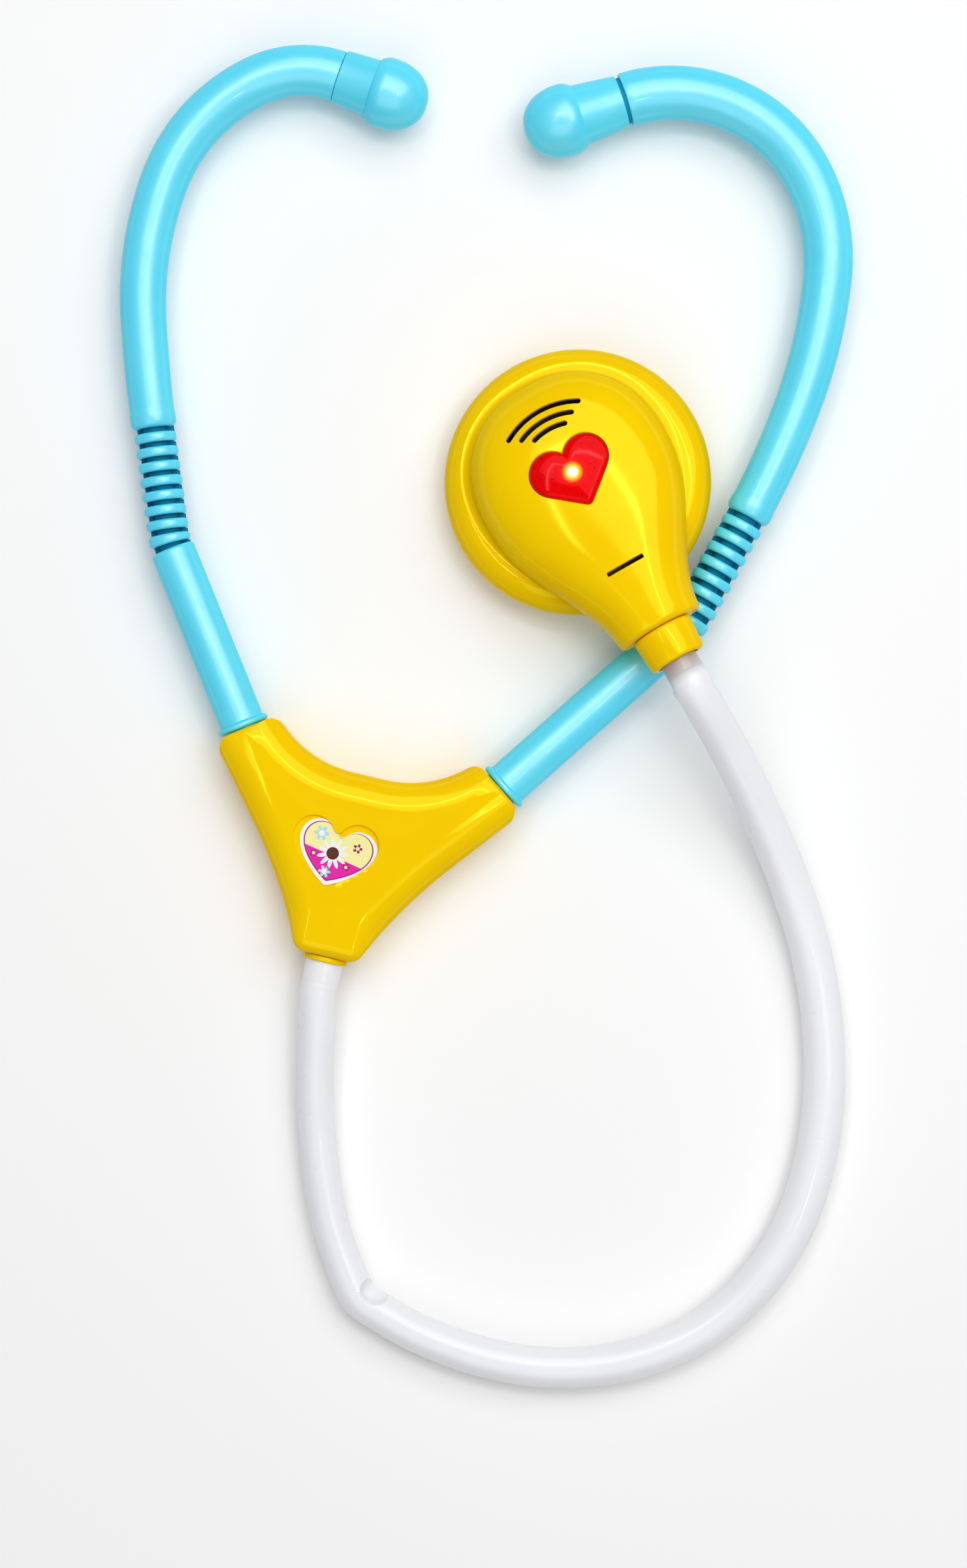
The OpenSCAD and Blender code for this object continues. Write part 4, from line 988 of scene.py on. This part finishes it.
# White at the lamp, then yellow, then red
from_lamp = distance_from(lens_tree, in_chest([*lamp_at, face_z + 0.3]))
glow = mixed(lens_tree, ranged(lens_tree, from_lamp, 0.0009, 0.0013, 0, 1), (1, 1, 0.9), (1, 0.75, 0.05))
glow = mixed(lens_tree, ranged(lens_tree, from_lamp, 0.0014, 0.0026, 0, 1), glow, (0.9, 0.01, 0.0))
lens_tree.links.new(glow, lens_sockets["Emission Color"])
lens_tree.links.new(ranged(lens_tree, from_lamp, 0.0012, 0.0036, 1.2, 0.0), lens_sockets["Emission Strength"])
button_shape = carved(lens, skirt, operation="UNION")
make_piece("heart_button", button_shape, red, "button", ["heart_button"], 40)

# Button pad: a soft silicone spring that stands on the board round the lamp.
# The button's skirt rests on it and squeezes it when the heart is pressed.
pad_base = disc_h + 1.55
pad_profile = rounded([[2.6, 0], [5.6, 0], [5.6, 0.8], [4.6, 0.8], [4.2, 6.4], [2.6, 6.4], [2.6, 5.2],
                       [3.4, 5], [3.7, 0.9], [2.6, 0.9]],
                      [0.1, 0.3, 0.3, 0.3, 0.4, 0.3, 0.1, 0.2, 0.2, 0.1], 4)
silicone = moulded("pad_silicone", (0.8, 0.8, 0.79), (0.72, 0.72, 0.72), 0.5, 1500, 0.05,
                   Subsurface_Weight=0.2, Subsurface_Scale=0.002)
pad_shape = turned([(pad_base + z, r) for r, z in pad_profile], upright(*lamp_at), 40)
button_pad = make_piece("button_pad", pad_shape, silicone, "yoke", ["button_pad"])
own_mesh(button_pad)

# Back plate, battery door and their screws: plain yellow mouldings and zinc-plated steel.
# Three screws hold the plate in the disc, one holds the door, and three close the yoke.
def dress(node, finish):
    """A CAD node in its own finish, with its sharp edges eased."""
    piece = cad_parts[node]
    piece.data.materials.clear()
    piece.data.materials.append(finish)
    weld = piece.modifiers.new("weld", "WELD")
    weld.merge_threshold = 1e-6
    ease = piece.modifiers.new("ease", "BEVEL")
    ease.width = 0.00012
    ease.segments = 2
    ease.limit_method = "ANGLE"


steel = moulded("screw_zinc", (0.7, 0.71, 0.73), (0.6, 0.61, 0.64), 0.3, 2600, 0.06, Metallic=1.0)
for node in ("chest_back", "battery_door"):
    dress(node, yellow)
for node in ("yoke_screws", "back_screws", "door_screw"):
    dress(node, steel)

# Inside the chest piece: button cells with brass leaves, a green board with the lamp, and a small speaker.
# They hardly show, so they keep their plain CAD forms.
dress("battery_cells", moulded("cell_nickel", (0.75, 0.76, 0.77), (0.66, 0.67, 0.69), 0.25, 2400, 0.04,
                               Metallic=1.0))
dress("battery_contacts", moulded("contact_brass", (0.75, 0.6, 0.3), (0.66, 0.52, 0.25), 0.35, 2000, 0.05,
                                  Metallic=1.0))
dress("circuit_board", moulded("board_green", (0.03, 0.22, 0.08), (0.02, 0.17, 0.06), 0.45, 1800, 0.1))
dress("led", moulded("lamp_clear", (0.95, 0.93, 0.85), (0.9, 0.88, 0.8), 0.1, 1500, 0.02))
dress("speaker", moulded("speaker_can", (0.02, 0.017, 0.015), (0.015, 0.013, 0.012), 0.6, 1600, 0.08))
dress("speaker_cone", moulded("cone_paper", (0.02, 0.02, 0.022), (0.015, 0.015, 0.016), 0.8, 900, 0.3))
